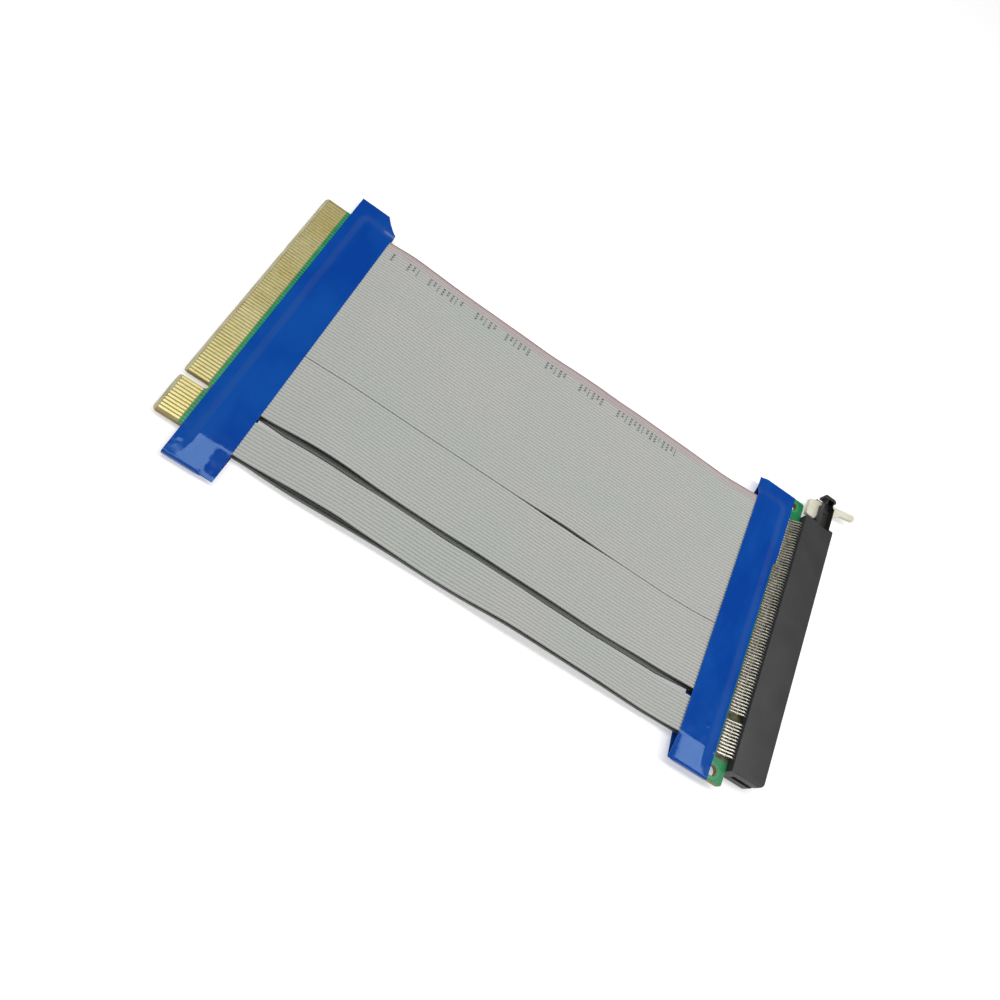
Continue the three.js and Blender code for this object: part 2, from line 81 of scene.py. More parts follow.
# %% The row of contacts
PITCH = 1.0
SHORT_ROW = 11
LONG_ROW = 71
ROW_MARGIN = 1.1
KEY_SPAN = 3.0
KEY_CENTRE = ROW_MARGIN + (SHORT_ROW - 1) * PITCH + KEY_SPAN / 2
contact_row = [ROW_MARGIN + step * PITCH for step in range(SHORT_ROW)]
contact_row += [KEY_CENTRE + KEY_SPAN / 2 + step * PITCH for step in range(LONG_ROW)]
TONGUE_WIDTH = contact_row[-1] + ROW_MARGIN
print(len(contact_row), "contacts a side over", round(TONGUE_WIDTH, 1), "mm")

# %% [markdown]
# A finish is a material made of nodes. Real surfaces are never one even colour, so each finish here
# starts from a Principled shader and adds three small things: patches of slightly different colour,
# an uneven roughness, and a fine bump. The patterns come from noise measured in millimetres on the
# object, so that they have the right scale and stay put when the part is seen from elsewhere.

# %% Helpers for finishes


class Finish:
    """A Principled material, with helpers that add patterns to it."""

    def __init__(self, name, colour, roughness, metallic=0.0, coat=0.0):
        self.material = bpy.data.materials.new(name)
        self.material.use_nodes = True
        self.nodes = self.material.node_tree.nodes
        self.shader = self.nodes["Principled BSDF"]
        self.shader.inputs["Base Color"].default_value = (*colour, 1.0)
        self.shader.inputs["Roughness"].default_value = roughness
        self.shader.inputs["Metallic"].default_value = metallic
        self.shader.inputs["Coat Weight"].default_value = coat
        self.shader.inputs["Coat Roughness"].default_value = 0.1
        self.millimetres = self.add("ShaderNodeVectorMath", operation="SCALE")
        self.millimetres.inputs["Scale"].default_value = 1.0 / MM
        place = self.add("ShaderNodeTexCoord")
        self.join(place.outputs["Object"], self.millimetres.inputs[0])

    def add(self, kind, **settings):
        made = self.nodes.new(kind)
        for setting, value in settings.items():
            setattr(made, setting, value)
        return made

    def join(self, output, socket):
        self.material.node_tree.links.new(output, socket)

    def spots(self, size, detail=2.0, stretch=(1.0, 1.0, 1.0)):
        """Noise whose patches are about this many millimetres across."""
        scaled = self.add("ShaderNodeVectorMath", operation="MULTIPLY")
        scaled.inputs[1].default_value = [1.0 / (size * way) for way in stretch]
        self.join(self.millimetres.outputs[0], scaled.inputs[0])
        pattern = self.add("ShaderNodeTexNoise")
        pattern.inputs["Scale"].default_value = 1.0
        pattern.inputs["Detail"].default_value = detail
        self.join(scaled.outputs[0], pattern.inputs["Vector"])
        return pattern.outputs["Fac"]

    def blend_colours(self, pattern, low, high):
        """Base colour that goes from low to high as the pattern rises."""
        ramp = self.add("ShaderNodeValToRGB")
        stops = ramp.color_ramp.elements
        for stop, position, colour in zip(stops, (0.35, 0.65), (low, high)):
            stop.position = position
            stop.color = (*colour, 1.0)
        self.join(pattern, ramp.inputs[0])
        self.join(ramp.outputs[0], self.shader.inputs["Base Color"])
        return ramp.outputs[0]

    def vary_roughness(self, pattern, low, high):
        span = self.add("ShaderNodeMapRange")
        for name, value in (("From Min", 0.3), ("From Max", 0.7), ("To Min", low), ("To Max", high)):
            span.inputs[name].default_value = value
        self.join(pattern, span.inputs["Value"])
        self.join(span.outputs[0], self.shader.inputs["Roughness"])

    def emboss(self, pattern, height):
        """Bump of this height in millimetres."""
        bump = self.add("ShaderNodeBump")
        bump.inputs["Strength"].default_value = 1.0
        bump.inputs["Distance"].default_value = height * MM
        self.join(pattern, bump.inputs["Height"])
        self.join(bump.outputs[0], self.shader.inputs["Normal"])


# %% [markdown]
# The boards have five finishes. Solder mask is a thin glossy green lacquer. Where copper runs under
# it the green is lighter. The bare edge of the board shows glass cloth and resin, brown with fine
# layers lying flat in the board, and paler where a cutter has bevelled it. Flux that dried beside
# the solder joints is a thin dark film.

# %% Board finishes


def make_solder_mask():
    mask = Finish("solder_mask", (0.012, 0.26, 0.085), 0.32, coat=0.5)
    mask.blend_colours(mask.spots(7.0), (0.008, 0.21, 0.07), (0.016, 0.31, 0.10))
    mask.vary_roughness(mask.spots(1.5), 0.25, 0.4)
    mask.emboss(mask.spots(0.25, 1.0, (1.0, 1.0, 4.0)), 0.004)
    return mask.material


def make_masked_copper():
    copper = Finish("masked_copper", (0.05, 0.42, 0.17), 0.3, coat=0.4)
    copper.blend_colours(copper.spots(3.0), (0.035, 0.36, 0.14), (0.07, 0.47, 0.20))
    copper.emboss(copper.spots(0.3), 0.003)
    return copper.material


def make_glass_cloth():
    cloth = Finish("glass_cloth", (0.42, 0.36, 0.17), 0.6)
    layers = cloth.spots(0.14, 2.0, (30.0, 30.0, 1.0))
    cloth.blend_colours(layers, (0.30, 0.22, 0.085), (0.42, 0.33, 0.15))
    cloth.emboss(cloth.spots(0.2, 2.0), 0.01)
    return cloth.material


def make_milled_cloth():
    cloth = Finish("milled_glass_cloth", (0.60, 0.56, 0.36), 0.65)
    layers = cloth.spots(0.14, 2.0, (30.0, 30.0, 1.0))
    cloth.blend_colours(layers, (0.52, 0.47, 0.28), (0.72, 0.68, 0.48))
    cloth.emboss(cloth.spots(0.2, 2.0), 0.01)
    return cloth.material


def make_flux():
    flux = Finish("soldering_flux", (0.07, 0.065, 0.03), 0.3)
    flux.blend_colours(flux.spots(2.0), (0.035, 0.035, 0.018), (0.12, 0.12, 0.05))
    flux.emboss(flux.spots(0.4), 0.01)
    return flux.material


solder_mask = make_solder_mask()
masked_copper = make_masked_copper()
glass_cloth = make_glass_cloth()
milled_cloth = make_milled_cloth()
flux = make_flux()

# %% [markdown]
# Two metals show. The fingers are gold over nickel, polished but faintly streaked along their length
# by being pushed into slots. The tails and solder are tin: whiter and duller, and cloudy from heat.

# %% Metal finishes


def make_gold():
    gold = Finish("gold_plate", (0.95, 0.86, 0.38), 0.35, metallic=0.7)
    gold.blend_colours(gold.spots(14.0), (0.90, 0.79, 0.31), (0.99, 0.92, 0.46))
    gold.vary_roughness(gold.spots(0.12, 2.0, (14.0, 1.0, 1.0)), 0.26, 0.46)
    gold.emboss(gold.spots(0.1, 1.0, (16.0, 1.0, 1.0)), 0.002)
    return gold.material


def make_tin():
    tin = Finish("tin_plate", (0.72, 0.69, 0.60), 0.34, metallic=0.9)
    tin.blend_colours(tin.spots(2.5), (0.60, 0.56, 0.47), (0.82, 0.79, 0.71))
    tin.vary_roughness(tin.spots(0.5), 0.24, 0.44)
    tin.emboss(tin.spots(0.15), 0.004)
    return tin.material


gold_plate = make_gold()
tin_plate = make_tin()

# %% [markdown]
# The housing is moulded in a dark plastic filled with glass fibre, which leaves a satin skin with a
# fine grain. The latch is a cream plastic, smoother and a little waxy.

# %% Plastic finishes


def make_housing_plastic():
    plastic = Finish("dark_moulded_plastic", (0.040, 0.040, 0.042), 0.5)
    plastic.blend_colours(plastic.spots(9.0), (0.036, 0.036, 0.038), (0.046, 0.046, 0.048))
    plastic.vary_roughness(plastic.spots(0.6), 0.44, 0.56)
    plastic.emboss(plastic.spots(0.12, 3.0), 0.012)
    return plastic.material


def make_latch_plastic():
    plastic = Finish("cream_moulded_plastic", (0.92, 0.89, 0.74), 0.4)
    plastic.blend_colours(plastic.spots(4.0), (0.88, 0.84, 0.66), (0.95, 0.93, 0.80))
    plastic.vary_roughness(plastic.spots(0.8), 0.34, 0.46)
    plastic.emboss(plastic.spots(0.3), 0.006)
    return plastic.material


housing_plastic = make_housing_plastic()
latch_plastic = make_latch_plastic()

# %% [markdown]
# A shape in plan, such as a board or a latch, can be drawn once and raised. A flat curve does that
# well in Blender: it fills the outline, leaves holes open, and can round the edges with its bevel.
# Corners come from one helper that puts a true arc on each.

# %% Outlines and plates
ARC_STEPS = 6


def rounded(corners, closed=True):
    """Points through corners of (x, y, radius), with an arc at each corner that has a radius."""
    points = []
    count = len(corners)
    for index, (x, y, radius) in enumerate(corners):
        at_end = not closed and index in (0, count - 1)
        if radius == 0 or at_end:
            points.append((x, y))
            continue
        corner = Vector((x, y))
        before = (Vector(corners[index - 1][:2]) - corner).normalized()
        after = (Vector(corners[(index + 1) % count][:2]) - corner).normalized()
        half_turn = before.angle(after) / 2
        centre = corner + (before + after).normalized() * (radius / math.sin(half_turn))
        start = corner + before * (radius / math.tan(half_turn)) - centre
        end = corner + after * (radius / math.tan(half_turn)) - centre
        sweep = start.angle_signed(end)
        for step in range(ARC_STEPS + 1):
            spoke = Matrix.Rotation(-sweep * step / ARC_STEPS, 2) @ start
            points.append(tuple(centre + spoke))
    return points


def circle(x, y, radius, sides=40):
    turns = [2 * math.pi * side / sides for side in range(sides)]
    return [(x + radius * math.cos(turn), y + radius * math.sin(turn)) for turn in turns]


def plate(outlines, bottom, top, edge=0.0):
    """Mesh of a filled outline in plan, raised from bottom to top, in millimetres."""
    curve = bpy.data.curves.new("outline", "CURVE")
    curve.dimensions = "2D"
    curve.fill_mode = "BOTH"
    curve.extrude = (top - bottom) / 2 - edge
    curve.bevel_depth = edge
    curve.bevel_resolution = 2
    curve.offset = -edge
    for outline in outlines:
        spline = curve.splines.new("POLY")
        spline.points.add(len(outline) - 1)
        for point, (x, y) in zip(spline.points, outline):
            point.co = (x, y, 0.0, 1.0)
        spline.use_cyclic_u = True
    holder = bpy.data.objects.new("outline", curve)
    bpy.context.scene.collection.objects.link(holder)
    graph = bpy.context.evaluated_depsgraph_get()
    mesh = bpy.data.meshes.new_from_object(holder.evaluated_get(graph))
    bpy.data.objects.remove(holder)
    mesh.transform(Matrix.Translation((0, 0, (top + bottom) / 2)))
    shell = bmesh.new()
    shell.from_mesh(mesh)
    bmesh.ops.remove_doubles(shell, verts=shell.verts, dist=1e-4)
    bmesh.ops.recalc_face_normals(shell, faces=shell.faces)
    shell.to_mesh(mesh)
    shell.free()
    return mesh


# %% [markdown]
# Two more helpers finish every piece. One joins or cuts shapes with Blender's boolean modifier and
# keeps the result. The other takes a mesh in millimetres, gives it its finish, marks the edges that
# should stay sharp, and hangs it on the body that it moves with.

# %% Joining shapes and adding pieces
SHARP = math.radians(38)


def loose(mesh):
    shape = bpy.data.objects.new("shape", mesh)
    bpy.context.scene.collection.objects.link(shape)
    return shape


def settle(shape):
    """Turn the shape's modifiers into its own mesh."""
    graph = bpy.context.evaluated_depsgraph_get()
    mesh = bpy.data.meshes.new_from_object(shape.evaluated_get(graph))
    shape.modifiers.clear()
    shape.data = mesh


def combine(shape, mesh, operation):
    other = loose(mesh)
    modifier = shape.modifiers.new("combine", "BOOLEAN")
    modifier.operation = operation
    modifier.solver = "EXACT"
    modifier.object = other
    settle(shape)
    bpy.data.objects.remove(other)


def mesh_of(points, faces):
    mesh = bpy.data.meshes.new("mesh")
    mesh.from_pydata([tuple(point) for point in points], [], faces)
    return mesh


def add_piece(name, mesh, finishes, body="cable", stands_for=None, sharp=SHARP):
    """Name a mesh given in millimetres, place it in the frame and let it ride on its body."""
    mesh.transform(Matrix.Scale(MM, 4) @ Matrix.Translation(Vector(START)))
    mesh.name = name
    kinds = [polygon.material_index for polygon in mesh.polygons]
    mesh.materials.clear()
    for material in finishes:
        mesh.materials.append(material)
    mesh.polygons.foreach_set("material_index", kinds)
    mesh.polygons.foreach_set("use_smooth", [True] * len(mesh.polygons))
    mesh.set_sharp_from_angle(angle=sharp)
    piece = bpy.data.objects.new(name, mesh)
    bpy.context.scene.collection.objects.link(piece)
    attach(piece, body)
    if stands_for:
        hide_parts(stands_for)
    print(name, "faces:", len(mesh.polygons))


# %% [markdown]
# Small parts repeat along the row, often on both faces of a board. A bent strip makes tails and
# springs: a path seen from the side, given a width and a thickness. A second helper copies one small
# shape to every contact, and mirrors it for the lower face. Long soft shapes are rings of points
# that follow one another, and a third helper lays the faces between them.

# %% Bent strips and rows


def bent_strip(path, width, thickness):
    """Points and faces of a strip that follows a path of (x, z)."""
    line = np.array(path, float)
    ahead = np.gradient(line, axis=0)
    ahead /= np.linalg.norm(ahead, axis=1)[:, None]
    out = np.stack([-ahead[:, 1], ahead[:, 0]], axis=1) * thickness / 2
    points = []
    for (x, z), (nx, nz) in zip(line, out):
        for side, face in ((-1, -1), (1, -1), (1, 1), (-1, 1)):
            points.append((x + face * nx, side * width / 2, z + face * nz))
    faces = [(0, 1, 2, 3)]
    for ring in range(len(line) - 1):
        for corner in range(4):
            a = ring * 4 + corner
            b = ring * 4 + (corner + 1) % 4
            faces.append((a, a + 4, b + 4, b))
    last = (len(line) - 1) * 4
    faces.append((last + 3, last + 2, last + 1, last))
    return np.array(points), faces


def row_of(points, faces, places, mirror_height=None):
    """One mesh with a copy at each place along the slot, and below a height as well if given."""
    all_points = []
    all_faces = []
    sides = (1,) if mirror_height is None else (1, -1)
    for side in sides:
        for y in places:
            copy = np.array(points) + (0.0, y, 0.0)
            if side < 0:
                copy[:, 2] = 2 * mirror_height - copy[:, 2]
            base = len(all_points)
            all_points.extend(copy)
            for face in faces:
                order = face if side > 0 else face[::-1]
                all_faces.append(tuple(base + index for index in order))
    return all_points, all_faces


def skin(rings, size, start=0):
    """Faces between rings of this many points that follow one another from the point at start."""
    faces = []
    for ring in range(rings - 1):
        for index in range(size):
            a = start + ring * size + index
            b = start + ring * size + (index + 1) % size
            faces.append((a, b, b + size, a + size))
    return faces


def repaired(mesh):
    """Point every face outwards."""
    shell = bmesh.new()
    shell.from_mesh(mesh)
    bmesh.ops.recalc_face_normals(shell, faces=shell.faces)
    shell.to_mesh(mesh)
    shell.free()
    return mesh


# %% [markdown]
# The card edge board is one sheet of laminate: a tongue with a key notch and a bevelled tip, and a
# wider part behind it that the tape covers. It is raised from its outline, then cut across where the
# bevel starts, so that the tip's points can be drawn in towards the middle of the board.

# %% Card edge board
card_board_low, card_board_high = solid_box("card_edge_board")
FINGER_HEIGHT = 0.06
MASK = 0.03
CARD_BOTTOM = card_board_low[2] + FINGER_HEIGHT
CARD_TOP = card_board_high[2] - FINGER_HEIGHT
CARD_MIDDLE = (CARD_BOTTOM + CARD_TOP) / 2
TONGUE_LENGTH = 8.4
KEY_WIDTH = 1.9
KEY_DEPTH = 7.6
BOARD_CORNER = 0.9
BEVEL_LENGTH = 0.9
BEVEL_DEPTH = 0.45
KEY_NEAR = KEY_CENTRE - KEY_WIDTH / 2
KEY_FAR = KEY_CENTRE + KEY_WIDTH / 2
card_outline = rounded([
    (0, 0, BOARD_CORNER),
    (TONGUE_LENGTH, 0, 0),
    (TONGUE_LENGTH, card_board_low[1], BOARD_CORNER),
    (card_board_high[0], card_board_low[1], 0),
    (card_board_high[0], card_board_high[1], 0),
    (TONGUE_LENGTH, card_board_high[1], BOARD_CORNER),
    (TONGUE_LENGTH, TONGUE_WIDTH, 0),
    (0, TONGUE_WIDTH, BOARD_CORNER),
    (0, KEY_FAR, BOARD_CORNER / 2),
    (KEY_DEPTH, KEY_FAR, 0.49 * KEY_WIDTH),
    (KEY_DEPTH, KEY_NEAR, 0.49 * KEY_WIDTH),
    (0, KEY_NEAR, BOARD_CORNER / 2),
])


def bevel_tip(mesh):
    shell = bmesh.new()
    shell.from_mesh(mesh)
    everything = shell.verts[:] + shell.edges[:] + shell.faces[:]
    bmesh.ops.bisect_plane(
        shell, geom=everything, plane_co=(BEVEL_LENGTH, 0, 0), plane_no=(1, 0, 0), dist=1e-5,
    )
    for vert in shell.verts:
        if vert.co.x < BEVEL_LENGTH:
            drop = BEVEL_DEPTH * (1 - vert.co.x / BEVEL_LENGTH)
            vert.co.z -= math.copysign(drop, vert.co.z - CARD_MIDDLE)
    shell.to_mesh(mesh)
    shell.free()


card_board_mesh = plate([card_outline], CARD_BOTTOM, CARD_TOP)
bevel_tip(card_board_mesh)
for face in card_board_mesh.polygons:
    face.material_index = int(face.center.x < BEVEL_LENGTH)
add_piece(
    "card_board_laminate", card_board_mesh, [glass_cloth, milled_cloth],
    stands_for="card_edge_board", sharp=math.radians(20),
)

# %% [markdown]
# Solder mask covers both faces from just behind the fingers. It is a thin skin of its own, so that
# its edge catches the light as the real one does. The key notch ends short of it. Each finger's
# copper goes on under the mask as a trace, which shows as a lighter line.

# %% Mask and traces of the card edge board
FINGER_START = 1.0
FINGER_END = 6.9
FINGER_WIDTH = 0.7
MASK_START = FINGER_END + 0.15
TRACE_WIDTH = 0.34
TRACE_END = 12.0
MASK_INSET = 0.02
KEY_MARGIN = 0.1
key_clear = KEY_DEPTH + 0.05
mask_near = card_board_low[1] + MASK_INSET
mask_far = card_board_high[1] - MASK_INSET
mask_back = card_board_high[0] - MASK_INSET
mask_outline = [
    (MASK_START, MASK_INSET), (TONGUE_LENGTH, MASK_INSET),
    (TONGUE_LENGTH, card_board_low[1] + BOARD_CORNER),
    (TONGUE_LENGTH + BOARD_CORNER, mask_near), (mask_back, mask_near),
    (mask_back, mask_far), (TONGUE_LENGTH + BOARD_CORNER, mask_far),
    (TONGUE_LENGTH, card_board_high[1] - BOARD_CORNER),
    (TONGUE_LENGTH, TONGUE_WIDTH - MASK_INSET), (MASK_START, TONGUE_WIDTH - MASK_INSET),
    (MASK_START, KEY_FAR + KEY_MARGIN), (key_clear, KEY_FAR + KEY_MARGIN),
    (key_clear, KEY_NEAR - KEY_MARGIN), (MASK_START, KEY_NEAR - KEY_MARGIN),
]
card_mask = loose(plate([mask_outline], CARD_TOP, CARD_TOP + MASK))
combine(card_mask, plate([mask_outline], CARD_BOTTOM - MASK, CARD_BOTTOM), "UNION")
card_mask_mesh = card_mask.data
bpy.data.objects.remove(card_mask)
add_piece("card_solder_mask", card_mask_mesh, [solder_mask])

trace_path = [(MASK_START, CARD_TOP + MASK), (TRACE_END, CARD_TOP + MASK)]
trace_points, trace_faces = bent_strip(trace_path, TRACE_WIDTH, MASK)
card_traces = mesh_of(*row_of(trace_points, trace_faces, contact_row, CARD_MIDDLE))
add_piece("card_traces", repaired(card_traces), [masked_copper])

# %% [markdown]
# The gold fingers are plated pads with softly rounded corners and a slight bevel to their top edge.
# One finger is drawn and repeated on both faces.

# %% Gold fingers
FINGER_BEVEL = 0.05


def finger_shape():
    half = FINGER_WIDTH / 2
    foot = rounded([
        (FINGER_START, -half, 0.2), (FINGER_END, -half, 0.2),
        (FINGER_END, half, 0.2), (FINGER_START, half, 0.2),
    ])[::2]
    middle_x = (FINGER_START + FINGER_END) / 2
    points = [(x, y, CARD_TOP) for x, y in foot]
    for x, y in foot:
        inner_x = x - math.copysign(FINGER_BEVEL, x - middle_x)
        points.append((inner_x, y * (1 - FINGER_BEVEL / half), CARD_TOP + FINGER_HEIGHT))
    count = len(foot)
    faces = [tuple(range(count))[::-1], tuple(range(count, 2 * count))]
    for index in range(count):
        after = (index + 1) % count
        faces.append((index, after, count + after, count + index))
    return points, faces


finger_points, finger_faces = finger_shape()
fingers = mesh_of(*row_of(finger_points, finger_faces, contact_row, CARD_MIDDLE))
add_piece("card_fingers", repaired(fingers), [gold_plate])

# %% [markdown]
# The slot board is a plain green rectangle, soldered between the two rows of contact tails. Tape
# hides most of it. What shows is a strip beside the slot, with a screw hole near each end and a pad
# under every tail.

# %% Slot board
slot_board_low, slot_board_high = solid_box("slot_board")
SLOT_MIDDLE = (slot_board_low[2] + slot_board_high[2]) / 2
HOLE_RADIUS = 1.5
hole_x = slot_board_high[0] - 4.1
hole_places = (slot_board_low[1] + 3.0, slot_board_high[1] - 3.0)
slot_board_outline = rounded([
    (slot_board_low[0], slot_board_low[1], 0), (slot_board_high[0], slot_board_low[1], BOARD_CORNER),
    (slot_board_high[0], slot_board_high[1], BOARD_CORNER), (slot_board_low[0], slot_board_high[1], 0),
])
holes = [circle(hole_x, y, HOLE_RADIUS) for y in hole_places]
core = plate([slot_board_outline, *holes], slot_board_low[2] + MASK, slot_board_high[2] - MASK)
add_piece(
    "slot_board_laminate", core, [glass_cloth],
    stands_for="slot_board", sharp=math.radians(20),
)


def inset(outline, amount):
    """The outline drawn in towards its middle, for a skin that stops just short of an edge."""
    centre_x = sum(x for x, y in outline) / len(outline)
    centre_y = sum(y for x, y in outline) / len(outline)
    drawn = []
    for x, y in outline:
        drawn.append((x - math.copysign(amount, x - centre_x), y - math.copysign(amount, y - centre_y)))
    return drawn


HOLE_MARGIN = 0.12
mask_holes = [circle(hole_x, y, HOLE_RADIUS + HOLE_MARGIN) for y in hole_places]
slot_mask_outlines = [inset(slot_board_outline, MASK_INSET), *mask_holes]
slot_mask_top = plate(slot_mask_outlines, slot_board_high[2] - MASK, slot_board_high[2])
add_piece("slot_solder_mask_top", slot_mask_top, [solder_mask])
slot_mask_under = plate(slot_mask_outlines, slot_board_low[2], slot_board_low[2] + MASK)
add_piece("slot_solder_mask_under", slot_mask_under, [solder_mask])

# %% [markdown]
# Each screw hole has a ring of copper under the mask. The pads are thin plates of tin, because on a
# real board they stand only a little above the mask. Dried flux darkens the board between the tails.
# They end in two rows: those near the key are a little longer than those beyond a step in the tape.

# %% Rings, pads and flux of the slot board
RING_RISE = 0.03
RING_OUTER = 2.3
RING_INNER = 2.0


def hole_ring(y, bottom):
    ring_outlines = [circle(hole_x, y, RING_OUTER), circle(hole_x, y, RING_INNER)]
    return plate(ring_outlines, bottom, bottom + RING_RISE)


for name, bottom in (("top", slot_board_high[2]), ("under", slot_board_low[2] - RING_RISE)):
    ring = loose(hole_ring(hole_places[0], bottom))
    combine(ring, hole_ring(hole_places[1], bottom), "UNION")
    ring_mesh = ring.data
    bpy.data.objects.remove(ring)
    add_piece(f"slot_hole_rings_{name}", ring_mesh, [masked_copper])

NEAR_TAIL_TIP = 175.75
FAR_TAIL_TIP = 176.3
PAD_START = FAR_TAIL_TIP - 0.1
PAD_END = 178.6
PAD_WIDTH = 0.62
PAD_RISE = 0.05
pad_height = slot_board_high[2] + PAD_RISE / 2
pad_path = [(PAD_START, pad_height), (PAD_END, pad_height)]
pad_points, pad_faces = bent_strip(pad_path, PAD_WIDTH, PAD_RISE)
pads = mesh_of(*row_of(pad_points, pad_faces, contact_row, SLOT_MIDDLE))
add_piece("slot_pads", repaired(pads), [tin_plate])

FLUX_RISE = 0.015
flux_near = -0.4
flux_far = TONGUE_WIDTH - 0.4
flux_start = NEAR_TAIL_TIP - 0.3
flux_end = slot_board_high[0] - 0.1
flux_outline = rounded([
    (flux_start, flux_near, 0.4), (flux_end, flux_near, 0.2),
    (flux_end, flux_far, 0.2), (flux_start, flux_far, 0.4),
])
flux_mesh = plate([flux_outline], slot_board_high[2], slot_board_high[2] + FLUX_RISE)
add_piece("slot_flux_film", flux_mesh, [flux])

# %% [markdown]
# The slot housing is one moulding: a long bar with the card slot in its outer side, open at the key
# end, a rib that fits the card's notch, and a tower at the far end whose two cheeks hold the latch.
# The bar and the tower are raised from outlines with rounded edges, joined, and then cut. A groove
# for each contact runs up both walls of the slot.

# %% Slot housing
housing_low, housing_high = solid_box("slot_housing")
HOUSING_BACK = slot_board_high[0] + 0.03
HOUSING_FACE = housing_high[0]
HOUSING_NEAR = housing_low[1]
HOUSING_FAR = TONGUE_WIDTH + 2.5
HOUSING_HEIGHT = housing_high[2]
EDGE = 0.22
SLOT_FLOOR = HOUSING_BACK + 2.95
SLOT_HALF = 0.95
SLOT_END = TONGUE_WIDTH + 0.15
LEAD_IN = 0.5
TOWER_FRONT = HOUSING_FACE - 1.65
TOWER_BACK = TOWER_FRONT - 4.2
PIVOT_X = (TOWER_FRONT + TOWER_BACK) / 2
PIVOT_Y = HOUSING_FAR + 7.3
TOWER_END = housing_high[1]


def swept(section, near, far):
    """Mesh of a side view of (x, z), swept along the slot."""
    count = len(section)
    points = [(x, near, z) for x, z in section] + [(x, far, z) for x, z in section]
    faces = [tuple(range(count)), tuple(range(2 * count - 1, count - 1, -1))]
    for index in range(count):
        after = (index + 1) % count
        faces.append((index, count + index, count + after, after))
    return repaired(mesh_of(points, faces))


def box_mesh(low, high):
    section = [(low[0], low[2]), (high[0], low[2]), (high[0], high[2]), (low[0], high[2])]
    return swept(section, low[1], high[1])


def tower_outline():
    lip = 0.7
    flange = TOWER_END - 1.5
    neck = flange - 2.1
    neck_back = PIVOT_X - 1.35
    neck_front = PIVOT_X + 1.35
    return rounded([
        (TOWER_BACK, HOUSING_FAR - 1.0, 0), (TOWER_FRONT, HOUSING_FAR - 1.0, 0),
        (TOWER_FRONT, neck, 0.25), (neck_front, neck, 0.25), (neck_front, flange, 0.25),
        (TOWER_FRONT, flange, 0.2), (TOWER_FRONT, TOWER_END - lip, 0.2),
        (TOWER_FRONT - lip, TOWER_END, 0.2), (TOWER_BACK, TOWER_END, 0.2),
        (TOWER_BACK - lip, TOWER_END - lip, 0.2), (TOWER_BACK - lip, flange, 0.2),
        (neck_back, flange, 0.25), (neck_back, neck, 0.25), (TOWER_BACK, neck, 0.25),
    ])


def contact_grooves():
    low = SLOT_MIDDLE - SLOT_HALF - 0.8
    high = SLOT_MIDDLE + SLOT_HALF + 0.8
    start = SLOT_FLOOR + 0.5
    end = HOUSING_FACE - 1.4
    path = [(start, (low + high) / 2), (end, (low + high) / 2)]
    points, faces = bent_strip(path, 0.6, high - low)
    return repaired(mesh_of(*row_of(points, faces, contact_row)))


bar_outline = rounded([
    (HOUSING_BACK, HOUSING_NEAR, 0.3), (HOUSING_FACE, HOUSING_NEAR, 2.0),
    (HOUSING_FACE, HOUSING_FAR, 0.3), (HOUSING_BACK, HOUSING_FAR, 0.3),
])
slot_section = [
    (SLOT_FLOOR, SLOT_MIDDLE - SLOT_HALF), (HOUSING_FACE - LEAD_IN, SLOT_MIDDLE - SLOT_HALF),
    (HOUSING_FACE + LEAD_IN, SLOT_MIDDLE - SLOT_HALF - 2 * LEAD_IN),
    (HOUSING_FACE + LEAD_IN, SLOT_MIDDLE + SLOT_HALF + 2 * LEAD_IN),
    (HOUSING_FACE - LEAD_IN, SLOT_MIDDLE + SLOT_HALF), (SLOT_FLOOR, SLOT_MIDDLE + SLOT_HALF),
]
rib_low = (SLOT_FLOOR - 0.5, KEY_CENTRE - KEY_WIDTH / 2 + 0.1, SLOT_MIDDLE - SLOT_HALF - 0.1)
rib_high = (HOUSING_FACE - 1.2, KEY_CENTRE + KEY_WIDTH / 2 - 0.1, SLOT_MIDDLE + SLOT_HALF + 0.1)
CHANNEL_HALF = 1.0
channel_low = (TOWER_BACK - 2.0, HOUSING_FAR, SLOT_MIDDLE - CHANNEL_HALF)
channel_high = (TOWER_FRONT + 2.0, TOWER_END + 1.0, SLOT_MIDDLE + CHANNEL_HALF)
housing = loose(plate([bar_outline], 0.0, HOUSING_HEIGHT, EDGE))
combine(housing, plate([tower_outline()], 0.0, HOUSING_HEIGHT, EDGE), "UNION")
combine(housing, swept(slot_section, HOUSING_NEAR - 1.0, SLOT_END), "DIFFERENCE")
combine(housing, contact_grooves(), "DIFFERENCE")
combine(housing, box_mesh(rib_low, rib_high), "UNION")
combine(housing, box_mesh(channel_low, channel_high), "DIFFERENCE")
SOCKET_REACH = 1.5
socket = plate([circle(PIVOT_X, PIVOT_Y, 1.0)], SLOT_MIDDLE - SOCKET_REACH, SLOT_MIDDLE + SOCKET_REACH)
combine(housing, socket, "DIFFERENCE")
housing_mesh = housing.data
bpy.data.objects.remove(housing)
add_piece("slot_housing_shell", housing_mesh, [housing_plastic], stands_for="slot_housing")

# %% [markdown]
# Each contact is one strip of metal. Inside the slot it is a spring with a crown that touches the
# card. Behind the housing its tail steps down to the board and ends in a foot, soldered to its pad
# with a small bright fillet, which is made as a low dome round the tail's tip.

